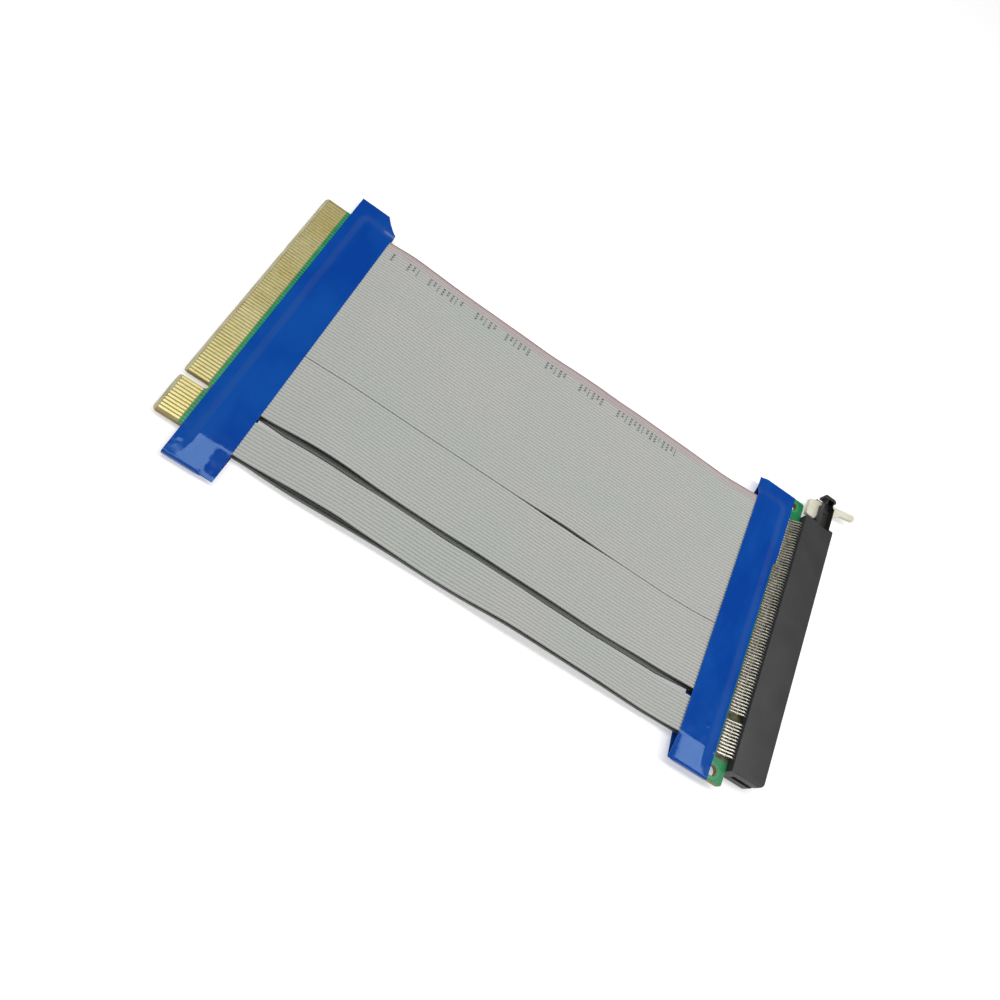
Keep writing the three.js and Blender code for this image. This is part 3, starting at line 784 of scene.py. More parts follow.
# %% Contacts, tails and solder
SPRING_WIDTH = 0.46
TAIL_WIDTH = 0.38
TAIL_THICKNESS = 0.28
TAIL_OUT = SLOT_MIDDLE + 2.45
FOOT_HEIGHT = slot_board_high[2] + PAD_RISE + TAIL_THICKNESS / 2
spring_path = rounded([
    (SLOT_FLOOR + 0.55, SLOT_MIDDLE + 1.55, 0), (SLOT_FLOOR + 3.2, SLOT_MIDDLE + 1.4, 1.5),
    (HOUSING_FACE - 3.4, SLOT_MIDDLE + 0.62, 1.0), (HOUSING_FACE - 1.6, SLOT_MIDDLE + 1.5, 0),
], closed=False)
spring_points, spring_faces = bent_strip(spring_path, SPRING_WIDTH, 0.2)
springs = mesh_of(*row_of(spring_points, spring_faces, contact_row, SLOT_MIDDLE))
add_piece("slot_springs", repaired(springs), [gold_plate])


def dome(radius_x, radius_y, height, sides=8, rings=3):
    """A low closed dome on a flat foot, about the origin."""
    points = [(0.0, 0.0, height)]
    for ring in range(1, rings + 1):
        lean = 0.5 * math.pi * ring / rings
        for side in range(sides):
            turn = 2 * math.pi * side / sides
            points.append((
                radius_x * math.sin(lean) * math.cos(turn),
                radius_y * math.sin(lean) * math.sin(turn),
                height * math.cos(lean),
            ))
    faces = [(0, 1 + side, 1 + (side + 1) % sides) for side in range(sides)]
    for ring in range(rings - 1):
        for side in range(sides):
            a = 1 + ring * sides + side
            b = 1 + ring * sides + (side + 1) % sides
            faces.append((a, a + sides, b + sides, b))
    foot = 1 + (rings - 1) * sides
    faces.append(tuple(range(foot + sides - 1, foot - 1, -1)))
    return np.array(points), faces


def tail_path(tip):
    return rounded([
        (HOUSING_BACK + 0.3, TAIL_OUT, 0), (HOUSING_BACK - 0.75, TAIL_OUT, 0.45),
        (tip + 1.6, FOOT_HEIGHT + 0.35, 0.6), (tip + 0.6, FOOT_HEIGHT, 0.4), (tip, FOOT_HEIGHT, 0),
    ], closed=False)


TAPE_STEP_AT = 66.0
near_row = [y for y in contact_row if y < TAPE_STEP_AT - 0.5]
far_row = [y for y in contact_row if y > TAPE_STEP_AT - 0.5]
for name, tip, row in (("near", NEAR_TAIL_TIP, near_row), ("far", FAR_TAIL_TIP, far_row)):
    tail_points, tail_faces = bent_strip(tail_path(tip), TAIL_WIDTH, TAIL_THICKNESS)
    tails = mesh_of(*row_of(tail_points, tail_faces, row, SLOT_MIDDLE))
    add_piece(f"slot_tails_{name}", repaired(tails), [tin_plate])
    joint_points, joint_faces = dome(0.42, 0.29, 0.26)
    joint_points += (tip + 0.15, 0.0, slot_board_high[2] + PAD_RISE)
    joints = mesh_of(*row_of(joint_points, joint_faces, row, SLOT_MIDDLE))
    add_piece(f"slot_solder_joints_{name}", repaired(joints), [tin_plate])

# %% [markdown]
# The latch is a flat rocker between the tower's cheeks. Its foot lifts the card out, its hook holds
# the card in, and its thumb tab sticks out to one side. It turns on two small trunnions, so it is the
# only piece that rides on the latch body.

# %% Latch
LATCH_HALF = 0.8
FOOT_BACK = slot_board_high[0] + 1.5
FOOT_NEAR = HOUSING_FAR + 2.8
TAB_ANGLE = math.radians(13)
TAB_LENGTH = 5.88
TAB_WIDTH = 2.39


def latch_outline():
    along = Vector((math.cos(TAB_ANGLE), math.sin(TAB_ANGLE)))
    across = Vector((-along.y, along.x))
    root = Vector((PIVOT_X + 7.0, PIVOT_Y + 3.0))
    tip = root + along * TAB_LENGTH
    return rounded([
        (FOOT_BACK, FOOT_NEAR + 0.2, 0.6), (PIVOT_X - 2.7, FOOT_NEAR, 0.5),
        (PIVOT_X - 1.9, PIVOT_Y - 3.0, 0.3), (PIVOT_X + 2.3, PIVOT_Y - 2.4, 0.3),
        (PIVOT_X + 4.5, PIVOT_Y + 0.6, 0.4), (root.x, root.y, 0.4), (tip.x, tip.y, 0.7),
        (*(tip + across * TAB_WIDTH), 0.7), (*(root + across * TAB_WIDTH), 0.4),
        (PIVOT_X + 2.9, PIVOT_Y + 4.6, 0.4), (PIVOT_X + 1.0, PIVOT_Y + 3.2, 0.3),
        (PIVOT_X - 2.9, PIVOT_Y + 3.0, 0.5), (FOOT_BACK, FOOT_NEAR + 6.4, 0.8),
    ])


latch = loose(plate([latch_outline()], SLOT_MIDDLE - LATCH_HALF, SLOT_MIDDLE + LATCH_HALF, 0.2))
TRUNNION_REACH = LATCH_HALF + 0.6
trunnions = plate(
    [circle(PIVOT_X, PIVOT_Y, 0.9)], SLOT_MIDDLE - TRUNNION_REACH, SLOT_MIDDLE + TRUNNION_REACH, 0.1,
)
combine(latch, trunnions, "UNION")
latch_mesh = latch.data
bpy.data.objects.remove(latch)
add_piece(
    "latch_rocker", latch_mesh, [latch_plastic], body="latch", stands_for="card_latch",
)

# %% [markdown]
# Ribbon cable is soft vinyl drawn over a row of stranded wires, so its skin is a row of rounded
# ridges with a thin web between them. The vinyl is a light grey with a soft sheen. The outer wire of
# the wide ribbon carries a dull red stripe, which has bled into the two wires beside it. Two numbers
# kept at every point of a ribbon's mesh steer its colour: how deep it lies in a valley between two
# wires, which is darker partly for its thinner web and partly as painted shade, and how near it lies
# to the gap between the two layers, which is painted shade.

# %% Ribbon finishes
RIBBON_GREY = (0.57, 0.60, 0.56)
RIBBON_WARM = (0.61, 0.60, 0.575)
# Colour between two wires: partly the thinner web's own colour, partly painted shade.
RIBBON_SHADE = (0.42, 0.44, 0.41)
# Painted shade for the gap between the two layers, where an upper ribbon shades the lower one.
PAINTED_GAP_SHADE = (0.155, 0.165, 0.155)
STRIPE_RED = (0.36, 0.17, 0.18)
STRIPE_FADED = (0.60, 0.525, 0.52)


def shade_valleys(vinyl, colours, shade):
    """Darker thin web between wires, partly painted shade, and painted shade between the layers."""
    for attribute, colour in (("valley", shade), ("gap_shade", PAINTED_GAP_SHADE)):
        amount = vinyl.add("ShaderNodeAttribute", attribute_name=attribute)
        darker = vinyl.add("ShaderNodeMix", data_type="RGBA")
        darker.inputs["B"].default_value = (*colour, 1.0)
        vinyl.join(amount.outputs["Fac"], darker.inputs["Factor"])
        vinyl.join(colours, darker.inputs["A"])
        colours = darker.outputs["Result"]
    vinyl.join(colours, vinyl.shader.inputs["Base Color"])


def make_ribbon_vinyl():
    vinyl = Finish("ribbon_vinyl", RIBBON_GREY, 0.5)
    vinyl.shader.inputs["Sheen Weight"].default_value = 0.08
    grey = vinyl.blend_colours(vinyl.spots(38.0, 2.0, (1.0, 0.6, 1.0)), RIBBON_GREY, RIBBON_WARM)
    shade_valleys(vinyl, grey, RIBBON_SHADE)
    vinyl.vary_roughness(vinyl.spots(2.2, 3.0, (5.0, 1.0, 1.0)), 0.42, 0.58)
    vinyl.emboss(vinyl.spots(0.35, 2.0, (3.0, 1.0, 1.0)), 0.012)
    return vinyl.material


def make_stripe_vinyl():
    vinyl = Finish("ribbon_stripe", STRIPE_RED, 0.5)
    vinyl.blend_colours(vinyl.spots(3.0, 3.0, (4.0, 1.0, 1.0)), (0.30, 0.14, 0.15), (0.44, 0.24, 0.245))
    vinyl.emboss(vinyl.spots(0.35, 2.0, (3.0, 1.0, 1.0)), 0.012)
    return vinyl.material


def make_faded_vinyl():
    vinyl = Finish("ribbon_beside_stripe", STRIPE_FADED, 0.5)
    streaks = vinyl.spots(9.0, 3.0, (3.0, 1.0, 1.0))
    faded = vinyl.blend_colours(streaks, (0.57, 0.49, 0.485), (0.62, 0.57, 0.55))
    # The valleys beside the stripe are darker in the same way: partly thinner web, partly painted
    # shade.
    shade_valleys(vinyl, faded, (0.46, 0.41, 0.40))
    vinyl.emboss(vinyl.spots(0.35, 2.0, (3.0, 1.0, 1.0)), 0.012)
    return vinyl.material


ribbon_vinyl = make_ribbon_vinyl()
stripe_vinyl = make_stripe_vinyl()
faded_vinyl = make_faded_vinyl()

# %% [markdown]
# A ribbon between two boards isn't flat: it lifts, sags and twists a little, and its two edges take
# different heights. Each ribbon's way is a short list of heights given along both edges,
# drawn out into a smooth curve. Height here is that of the ribbon's middle. Inside the tapes a
# ribbon lies level on its seat. The middle and the wide ribbon share one list where they meet.

# %% Ribbon routes
CARD_SEATS = {"upper": 3.23, "lower": 0.63}
SLOT_SEATS = {"upper": 5.05, "lower": 2.45}
LEVEL_UNTIL = {"upper": 22.4, "lower": 18.6}
LEVEL_FROM = 163.3
RIBBON_STOP = 170.6

upper_inner = [(30, 3.6), (36, 3.9), (60, 3.4), (80, 3.3), (100, 3.2), (125, 3.0), (145, 2.9),
               (156, 3.6)]
upper_near = {
    "narrow": [(27, 3.4), (31, 4.0), (41, 5.2), (52, 5.9), (60, 5.0), (70, 4.1), (80, 3.4), (90, 3.8),
               (104, 5.6), (120, 5.3), (136, 4.8), (150, 3.8), (158, 4.2)],
    "middle": [(24, 3.3), (28, 3.9), (32, 4.6), (36, 5.3), (40, 5.7), (44, 5.7), (48, 5.4), (52, 4.9),
               (56, 4.3), (64, 3.8), (80, 3.5), (88, 3.7), (96, 3.5), (112, 3.3), (120, 3.0),
               (128, 2.75), (136, 2.9), (144, 3.5), (152, 3.8), (158, 4.6)],
    "wide": upper_inner,
}
upper_far = {
    "narrow": [(31, 3.9), (41, 4.8), (52, 5.4), (60, 5.6), (72, 5.2), (80, 4.6), (88, 5.0), (96, 4.9),
               (104, 4.8), (112, 4.2), (128, 3.9), (136, 3.5), (144, 3.3), (152, 3.4), (158, 4.1)],
    "middle": upper_inner,
    "wide": [(27, 3.9), (31, 4.25), (35, 4.1), (44, 3.6), (53, 3.4), (71, 3.35), (81, 3.1), (90, 3.6),
             (99, 3.95), (107, 3.8), (115, 4.0), (133, 3.9), (150, 3.5), (158, 4.4)],
}
lower_near = {
    "narrow": [(24, 1.6), (29, 2.1), (38, 2.1), (48, 2.6), (58, 2.7), (67, 2.8), (80, 2.3), (90, 2.6),
               (104, 4.1), (120, 3.9), (136, 3.4), (150, 2.6)],
    "middle": [(28, 2.3), (36, 3.2), (44, 3.5), (52, 3.2), (60, 2.7), (80, 2.4), (104, 2.1), (128, 1.7),
               (144, 2.2)],
    "wide": [(30, 2.3), (45, 2.6), (80, 2.1), (120, 1.9), (150, 2.0)],
}
lower_far = {
    "narrow": [(30, 2.4), (41, 2.9), (52, 3.3), (64, 3.6), (80, 3.1), (96, 3.4), (112, 2.8),
               (136, 2.2)],
    "middle": [(30, 2.3), (44, 2.6), (60, 2.3), (80, 2.2), (100, 2.1), (130, 1.9), (150, 2.1)],
    "wide": [(30, 2.6), (45, 2.4), (60, 2.3), (81, 1.9), (92, 2.4), (107, 2.7), (133, 2.7), (150, 2.3)],
}
routes = {"upper": (upper_near, upper_far), "lower": (lower_near, lower_far)}


def drawn_out(points, places):
    """Heights at these places on a soft curve through the points."""
    fine = np.arange(0.0, 200.0, 0.5)
    known_x = [x for x, z in points]
    heights = np.interp(fine, known_x, [z for x, z in points])
    reach = np.arange(-16, 17) * 0.5
    weights = np.exp(-((reach / 2.6) ** 2))
    padded = np.pad(heights, 16, mode="edge")
    return np.interp(places, fine, np.convolve(padded, weights / weights.sum(), mode="valid"))


def side_heights(layer, span, start, places):
    """Heights of a ribbon's near and far side at these places along the cable."""
    card_seat = CARD_SEATS[layer]
    slot_seat = SLOT_SEATS[layer]
    heights = []
    for route in routes[layer]:
        points = [(start, card_seat), (LEVEL_UNTIL[layer], card_seat), *route[span]]
        points += [(LEVEL_FROM, slot_seat), (RIBBON_STOP, slot_seat)]
        heights.append(drawn_out(points, places))
    return heights


# %% [markdown]
# The section of a ribbon is a ring of points: over the ridges from the near edge to the far edge and
# back underneath. Each ridge is a circle as wide as the wire's insulation, and the two edges close
# with half circles. The ring is repeated along the cable and skinned with four sided faces. The
# narrow slit between the middle and the wide ribbon is closed where they lie edge to edge and opens
# for a short way.

# %% Ribbons
RIBBON_HALF = 0.45
WEB_HALF = 0.2
RIBBON_NEAR_SIDES = {"narrow": 0.1, "middle": 13.3, "wide": 35.5}
RIBBON_WIRES = {"narrow": 11, "middle": 22, "wide": 49}
STATION_STEP = 1.5
RIDGE_STEPS = (-0.42, -0.33, -0.18, 0.0, 0.18, 0.33, 0.42)
EDGE_STEPS = 4
WANDER = 0.14
SLIT_OPEN_AT = 109.0
SLIT_OPEN_LENGTH = 11.0
# How far in from each side of a lower ribbon the painted shade of the gap reaches, and how softly it
# fades.
SHADED_WIDTH = 2.6
SHADE_FADES = 1.4
MIDDLE_STRAY = 1.2
NARROW_STRAY = 0.35
NARROW_BULGE = 0.45
STRIPE_WIDTH = 0.6
FADED_WIDTH = 2.9


def ridge_half(offset):
    round_half = math.sqrt(RIBBON_HALF ** 2 - offset ** 2)
    return max(WEB_HALF, round_half)


def valley(across):
    """0 on top of a wire, and up to 1 half way to the next."""
    return (0.5 - 0.5 * math.cos(2 * math.pi * (across - RIBBON_HALF) / PITCH)) ** 3


def gap_shade(layer, across, half, width):
    """Painted shade in the deep gaps between the layers: 1 along both sides of a lower ribbon's upper
    face.
    """
    if layer == "upper" or half < -0.3:
        return 0.0
    from_side = min(across, width - across)
    return 1 - min(1.0, max(0.0, (from_side - SHADED_WIDTH) / SHADE_FADES))


def ribbon_outline(count):
    """Upper outline of the section, from edge to edge: distance across and half height."""
    outline = []
    for step in range(EDGE_STEPS):
        turn = 0.5 * math.pi * step / EDGE_STEPS
        outline.append((RIBBON_HALF * (1 - math.cos(turn)), RIBBON_HALF * math.sin(turn)))
    for wire in range(count):
        centre = RIBBON_HALF + wire * PITCH
        for offset in RIDGE_STEPS:
            first_edge = wire == 0 and offset < 0
            last_edge = wire == count - 1 and offset > 0
            if not first_edge and not last_edge:
                outline.append((centre + offset, ridge_half(offset)))
    far = (count - 1) * PITCH + 2 * RIBBON_HALF
    for step in range(1, EDGE_STEPS + 1):
        turn = 0.5 * math.pi * step / EDGE_STEPS
        outline.append((far - RIBBON_HALF * (1 - math.sin(turn)), RIBBON_HALF * math.cos(turn)))
    return outline


def sideways(layer, span, x, share):
    """How far a point strays along the slot: a slit opens, and a lower ribbon lies off to one side."""
    opened = math.exp(-(((x - SLIT_OPEN_AT) / SLIT_OPEN_LENGTH) ** 2))
    strayed = min(1.0, max(0.0, (x - 20.0) / 10.0), max(0.0, (163.0 - x) / 12.0))
    if span == "middle":
        return (0.1 - 0.38 * opened) * share - (MIDDLE_STRAY * strayed if layer == "lower" else 0.0)
    if span == "wide":
        return (-0.1 + 0.45 * opened) * (1 - share) ** 3
    if layer == "upper":
        return 0.0
    return -(NARROW_STRAY + NARROW_BULGE * math.exp(-(((x - 42.0) / 15.0) ** 2))) * strayed


def wander(x, y):
    """A slight unevenness of height in the open, and none inside the tapes."""
    in_open = max(0.0, min(1.0, (x - LEVEL_UNTIL["upper"]) / 12.0, (LEVEL_FROM - x) / 12.0))
    return WANDER * in_open * noise.noise(Vector((x * 0.05, y * 0.06, 3.0)))


def ribbon_width(span):
    return (RIBBON_WIRES[span] - 1) * PITCH + 2 * RIBBON_HALF


def ribbon(layer, span):
    node = f"{layer}_{span}_ribbon"
    start = solid_box(node)[0][0]
    width = ribbon_width(span)
    stations = np.linspace(start, RIBBON_STOP, round((RIBBON_STOP - start) / STATION_STEP))
    sides = side_heights(layer, span, start, stations)
    outline = ribbon_outline(RIBBON_WIRES[span])
    ring = outline + [(across, -half) for across, half in outline[-2:0:-1]]
    points = []
    for x, near, far in zip(stations, *sides):
        for across, half in ring:
            share = across / width
            y = RIBBON_NEAR_SIDES[span] + across + sideways(layer, span, x, share)
            points.append((x, y, near + (far - near) * share + half + wander(x, y)))
    size = len(ring)
    last = (len(stations) - 1) * size
    faces = [tuple(range(size - 1, -1, -1)), *skin(len(stations), size)]
    faces.append(tuple(range(last, last + size)))
    mesh = mesh_of(points, faces)
    if span == "wide":
        marks = []
        for index in range(size):
            from_far_side = width - (ring[index][0] + ring[(index + 1) % size][0]) / 2
            in_stripe = from_far_side < STRIPE_WIDTH
            in_faded = from_far_side < FADED_WIDTH and not in_stripe
            marks.append(1 * in_stripe + 2 * in_faded)
        mesh.polygons.foreach_set("material_index", [0] + marks * (len(stations) - 1) + [0])
    mesh = repaired(mesh)
    # These attributes steer the colour: valleys are darker partly for the thin web and partly as
    # painted shade; the gap between the layers is painted shade.
    valleys = mesh.attributes.new("valley", "FLOAT", "POINT")
    valleys.data.foreach_set("value", [valley(across) for across, half in ring] * len(stations))
    gap_shade_attribute = mesh.attributes.new("gap_shade", "FLOAT", "POINT")
    gap_shade_amounts = [gap_shade(layer, across, half, width) for across, half in ring]
    gap_shade_attribute.data.foreach_set("value", gap_shade_amounts * len(stations))
    add_piece(
        f"{layer}_{span}_cable", mesh, [ribbon_vinyl, stripe_vinyl, faded_vinyl],
        stands_for=node, sharp=math.radians(80),
    )


for layer in ("upper", "lower"):
    for span in ("narrow", "middle", "wide"):
        ribbon(layer, span)

# %% [markdown]
# Such cable is printed along its striped edge. Here the print is plain: groups of short bars, each
# across two or three wires. A bar is a thin skin of ink that follows the tops of the wires, a
# hundredth of a millimetre above the vinyl.

# %% Printed bars
INK_RISE = 0.012
INK_SINK = 0.03
INK_HALF = 0.26
INK_STEPS = (-1.0, -0.5, 0.0, 0.5, 1.0)
ROUND_BAR = 2 * len(INK_STEPS)
BAR_LENGTH = 0.75
BAR_SPACING = 1.6
bar_groups = ((25.0, 1), (30.5, 3), (38.0, 8), (55.0, 5), (66.0, 6), (81.0, 5), (93.5, 6), (108.0, 15))


def make_ink():
    ink = Finish("grey_ink", (0.20, 0.20, 0.20), 0.6)
    ink.blend_colours(ink.spots(0.5), (0.09, 0.09, 0.09), (0.30, 0.30, 0.29))
    return ink.material


def wide_surface(x, across):
    """Where the upper wide ribbon's skin is, this far across it."""
    near, far = (float(heights[0]) for heights in side_heights("upper", "wide", 0.0, [x]))
    share = across / ribbon_width("wide")
    y = RIBBON_NEAR_SIDES["wide"] + across + sideways("upper", "wide", x, share)
    offset = (across - RIBBON_HALF + PITCH / 2) % PITCH - PITCH / 2
    return x, y, near + (far - near) * share + ridge_half(offset) + wander(x, y)


def ink_bar(x, length, wire):
    """Points round a bar of ink on one wire, first at one end of the bar and then at the other."""
    points = []
    for end in (x, x + length):
        middle = RIBBON_HALF + wire * PITCH
        top = [wide_surface(end, middle + step * INK_HALF) for step in INK_STEPS]
        points += [(x, y, z + INK_RISE) for x, y, z in top]
        points += [(x, y, z - INK_SINK) for x, y, z in top[::-1]]
    return points


ink_points = []
ink_faces = []
for group_start, bars in bar_groups:
    for bar in range(bars):
        bar_x = group_start + BAR_SPACING * bar
        bar_length = BAR_LENGTH * (0.55 if bar % 4 == 2 else 1.0)
        wires = (44, 45) if bar % 3 == 1 else (43, 44, 45)
        for wire in wires:
            base = len(ink_points)
            ink_points += ink_bar(bar_x, bar_length, wire)
            ink_faces += skin(2, ROUND_BAR, base)
            ink_faces.append(tuple(range(base + ROUND_BAR - 1, base - 1, -1)))
            ink_faces.append(tuple(range(base + ROUND_BAR, base + 2 * ROUND_BAR)))
ink_mesh = repaired(mesh_of(ink_points, ink_faces))
add_piece("ribbon_printed_bars", ink_mesh, [make_ink()])

# %% [markdown]
# The tape is a thin glossy film, folded once round the board and the ribbons and stuck to itself at
# both ends. Over the board it lies low, over the ribbons it climbs a step, and beside them it is
# pinched flat. It is made as a flattened tube: for every place across the tape, a loop that runs over
# the top, round the far end, back underneath and round the near end. Heights come from a few soft
# steps, and small creases and trapped bubbles are added to them, since a film this glossy shows the
# slightest unevenness.

# %% Tape finish


def make_tape_film():
    film = Finish("blue_tape", (0.002, 0.075, 0.43), 0.12)
    patches = film.spots(9.0, 2.0, (1.0, 2.0, 1.0))
    film.blend_colours(patches, (0.001, 0.062, 0.40), (0.004, 0.088, 0.45))
    film.shader.inputs["Specular Tint"].default_value = (0.50, 0.78, 1.0, 1.0)
    film.vary_roughness(film.spots(3.0), 0.09, 0.18)
    film.emboss(film.spots(2.4, 2.0, (1.0, 1.6, 1.0)), 0.012)
    return film.material


def make_tape_edge():
    edge = Finish("tape_cut_edge", (0.30, 0.45, 0.75), 0.35)
    edge.blend_colours(edge.spots(0.8), (0.16, 0.30, 0.62), (0.45, 0.58, 0.82))
    return edge.material


tape_film = make_tape_film()
tape_edge = make_tape_edge()

# %% Tape shape
TAPE = 0.07
RIBBONS_NEAR = RIBBON_NEAR_SIDES["narrow"] - 0.1
RIBBONS_FAR = RIBBON_NEAR_SIDES["wide"] + RIBBON_WIRES["wide"] * PITCH + 0.1
LOOP_STEP = 0.5
TAPE_MARGINS = 16.0
TAPE_STEPS = 36
WRAP_STEPS = 4


def ramp(value, start, end):
    """0 before start, 1 after end, and a soft rise between."""
    share = min(1.0, max(0.0, (value - start) / (end - start)))
    return share * share * (3 - 2 * share)


def between_edges(y, near_margin=7.6, far_margin=5.0):
    near = min(1.0, max(0.0, (y - RIBBONS_NEAR + near_margin) / near_margin))
    return near * (1 - ramp(y, RIBBONS_FAR, RIBBONS_FAR + far_margin))


def bubble(x, y, centre_x, centre_y, size, height):
    away = ((x - centre_x) ** 2 + (y - centre_y) ** 2) / size ** 2
    return height * math.exp(-away)


def ridges(y):
    """How far the film sinks between two wires, from 0 on a ridge to 1 in a valley."""
    for span, near_side in RIBBON_NEAR_SIDES.items():
        along = y - near_side - RIBBON_HALF
        if -0.5 < along < RIBBON_WIRES[span] - 0.5:
            return 0.5 - 0.5 * math.cos(2 * math.pi * along / PITCH)
    return 1.0


def tape_mesh(x_at, near_at, far_at, top_at, bottom_at):
    """Closed thin film from five functions: x of a share and y, both ends of an x, and two heights."""
    count = round((RIBBONS_FAR - RIBBONS_NEAR + TAPE_MARGINS) / LOOP_STEP)
    shares = [step / count for step in range(count + 1)]
    points = []
    for step in range(TAPE_STEPS + 1):
        across = step / TAPE_STEPS
        loop = []
        for share in shares:
            y_guess = near_at(x_at(across, 0.0)) + share * (far_at(0.0) - near_at(0.0))
            x = x_at(across, y_guess)
            y = near_at(x) + share * (far_at(x) - near_at(x))
            loop.append((x, y))
        near_x, near_y = loop[0]
        far_x, far_y = loop[-1]
        ring = [(x, y, top_at(x, y)) for x, y in loop]
        ring += wrap(far_x, far_y, top_at(far_x, far_y), bottom_at(far_x, far_y), 1)
        ring += [(x, y, bottom_at(x, y)) for x, y in loop[::-1]]
        ring += wrap(near_x, near_y, bottom_at(near_x, near_y), top_at(near_x, near_y), -1)
        points.extend(ring)
    return mesh_of(points, skin(TAPE_STEPS + 1, len(ring)))


def wrap(x, y, start_height, end_height, way):
    """Points round one end of the tape, from one height to the other."""
    middle = (start_height + end_height) / 2
    half = (start_height - end_height) / 2
    reach = min(0.3, abs(half))
    points = []
    for step in range(1, WRAP_STEPS + 1):
        turn = math.pi * step / (WRAP_STEPS + 1)
        points.append((x, y + way * reach * math.sin(turn), middle + half * math.cos(turn)))
    return points


def add_tape(name, mesh, node):
    film = loose(repaired(mesh))
    skin = film.modifiers.new("film", "SOLIDIFY")
    skin.thickness = TAPE
    skin.offset = -1.0
    skin.use_rim = True
    skin.material_offset_rim = 1
    for material in (tape_film, tape_edge):
        film.data.materials.append(material)
    settle(film)
    made = film.data
    bpy.data.objects.remove(film)
    add_piece(name, made, [tape_film, tape_edge], stands_for=node, sharp=math.radians(70))


# %% [markdown]
# At the card end the film starts on the tongue, lies on the board, climbs onto the ribbons and ends
# on them. Its far corner is cut across. Its near end was pressed down by hand, which left the most
# creases and a few bubbles, and these catch the light.

# %% Tape at the card end
card_tape_low, card_tape_high = solid_box("card_end_tape")
END_REACH = 0.3
TAPE_STAND = 0.18
CARD_TAPE_ON_BOARD = CARD_TOP + TAPE_STAND
CARD_TAPE_UNDER_BOARD = CARD_BOTTOM - TAPE_STAND
CLIMB_START = card_board_high[0] - 6.6
CLIMB_END = CLIMB_START + 2.8
CREST_GAP = 0.05
CARD_CREST = CARD_SEATS["upper"] + RIBBON_HALF + TAPE + CREST_GAP
PINCH_HALF = 0.13


def card_tape_x(across, y):
    return card_tape_low[0] + across * (card_tape_high[0] - card_tape_low[0])


def card_tape_near(x):
    return card_tape_low[1] + END_REACH


def card_tape_far(x):
    cut = max(0.0, x - card_board_high[0] - 0.5) * 0.98
    return card_tape_high[1] - END_REACH - cut


CARD_BUBBLES = (
    (10.1, -3.1, 0.6, 0.10), (14.4, -2.6, 0.7, 0.12), (10.7, 0.2, 0.5, 0.07),
    (16.8, 19.7, 0.5, 0.07), (19.8, 19.4, 0.4, 0.06),
)


def card_creases(x, y):
    near_end = 1 - ramp(y, -2.0, 6.0)
    far_end = ramp(y, 84.0, 90.0)
    rough = 0.012 + 0.08 * near_end + 0.02 * far_end
    broad = noise.noise(Vector((x * 0.32, y * 0.26, 1.7)))
    fine = noise.noise(Vector((x * 0.9, y * 0.7, 5.1)))
    return rough * (broad + 0.4 * fine) + sum(bubble(x, y, *place) for place in CARD_BUBBLES)


def card_past_board(x):
    """0 on the board, and 1 where the film has left it and is pinched to itself."""
    return ramp(x, card_board_high[0] + 0.2, card_board_high[0] + 2.2)


def card_tape_top(x, y):
    beside = CARD_TAPE_ON_BOARD
    past = card_past_board(x)
    beside += (CARD_MIDDLE + PINCH_HALF - CARD_TAPE_ON_BOARD) * past
    over = CARD_TAPE_ON_BOARD + (CARD_CREST - CARD_TAPE_ON_BOARD) * ramp(x, CLIMB_START, CLIMB_END)
    inside = between_edges(y)
    pressed = 0.05 * ridges(y) * ramp(x, card_tape_high[0] - 3.5, card_tape_high[0]) * inside
    height = beside + (over - beside) * inside - pressed + card_creases(x, y) * (1 - 0.5 * inside)
    covers = x > CLIMB_END and RIBBONS_NEAR < y < RIBBONS_FAR
    return max(height, CARD_CREST - 0.04 - pressed) if covers else height


def card_tape_bottom(x, y):
    beside = CARD_TAPE_UNDER_BOARD
    past = card_past_board(x)
    beside += (CARD_MIDDLE - PINCH_HALF - CARD_TAPE_UNDER_BOARD) * past
    over = CARD_TAPE_UNDER_BOARD * (1 - ramp(x, CLIMB_START, CLIMB_END))
    height = beside + (over - beside) * between_edges(y)
    follow = card_creases(x, y) if past > 0 else 0.0
    return max(0.0, height + past * follow * (1 - between_edges(y)))


add_tape(
    "card_tape_film",
    tape_mesh(card_tape_x, card_tape_near, card_tape_far, card_tape_top, card_tape_bottom),
    "card_end_tape",
)

# %% [markdown]
# The tape at the slot end is laid the other way round: it starts on the ribbons and ends on the
# board beside the row of contacts. Its edge there has a step, where a second strip was cut a little
# longer.

# %% Tape at the slot end
slot_tape_low, slot_tape_high = solid_box("slot_end_tape")
SLOT_TAPE_ON_BOARD = slot_board_high[2] + TAPE_STAND
SLOT_TAPE_UNDER_BOARD = slot_board_low[2] - TAPE_STAND
STEP_WIDTH = 0.9
SLOT_CREST = SLOT_SEATS["upper"] + RIBBON_HALF + TAPE + CREST_GAP
SLOT_CLIMB_END = RIBBON_STOP + 0.3
SLOT_CLIMB_START = RIBBON_STOP + 4.2


def slot_tape_x(across, y):
    end = slot_tape_high[0] - STEP_WIDTH * (1 - ramp(y, TAPE_STEP_AT - 0.5, TAPE_STEP_AT + 0.5))
    return slot_tape_low[0] + across * (end - slot_tape_low[0])


def slot_tape_near(x):
    return slot_tape_low[1] + END_REACH


def slot_tape_far(x):
    return slot_tape_high[1] - END_REACH


SLOT_BUBBLES = (
    (163.2, 88.4, 0.5, 0.08), (172.5, 55.9, 0.7, 0.07), (172.8, 56.2, 0.55, 0.13),
    (162.7, 88.1, 0.6, 0.1), (170.7, 57.1, 0.4, 0.06),
)


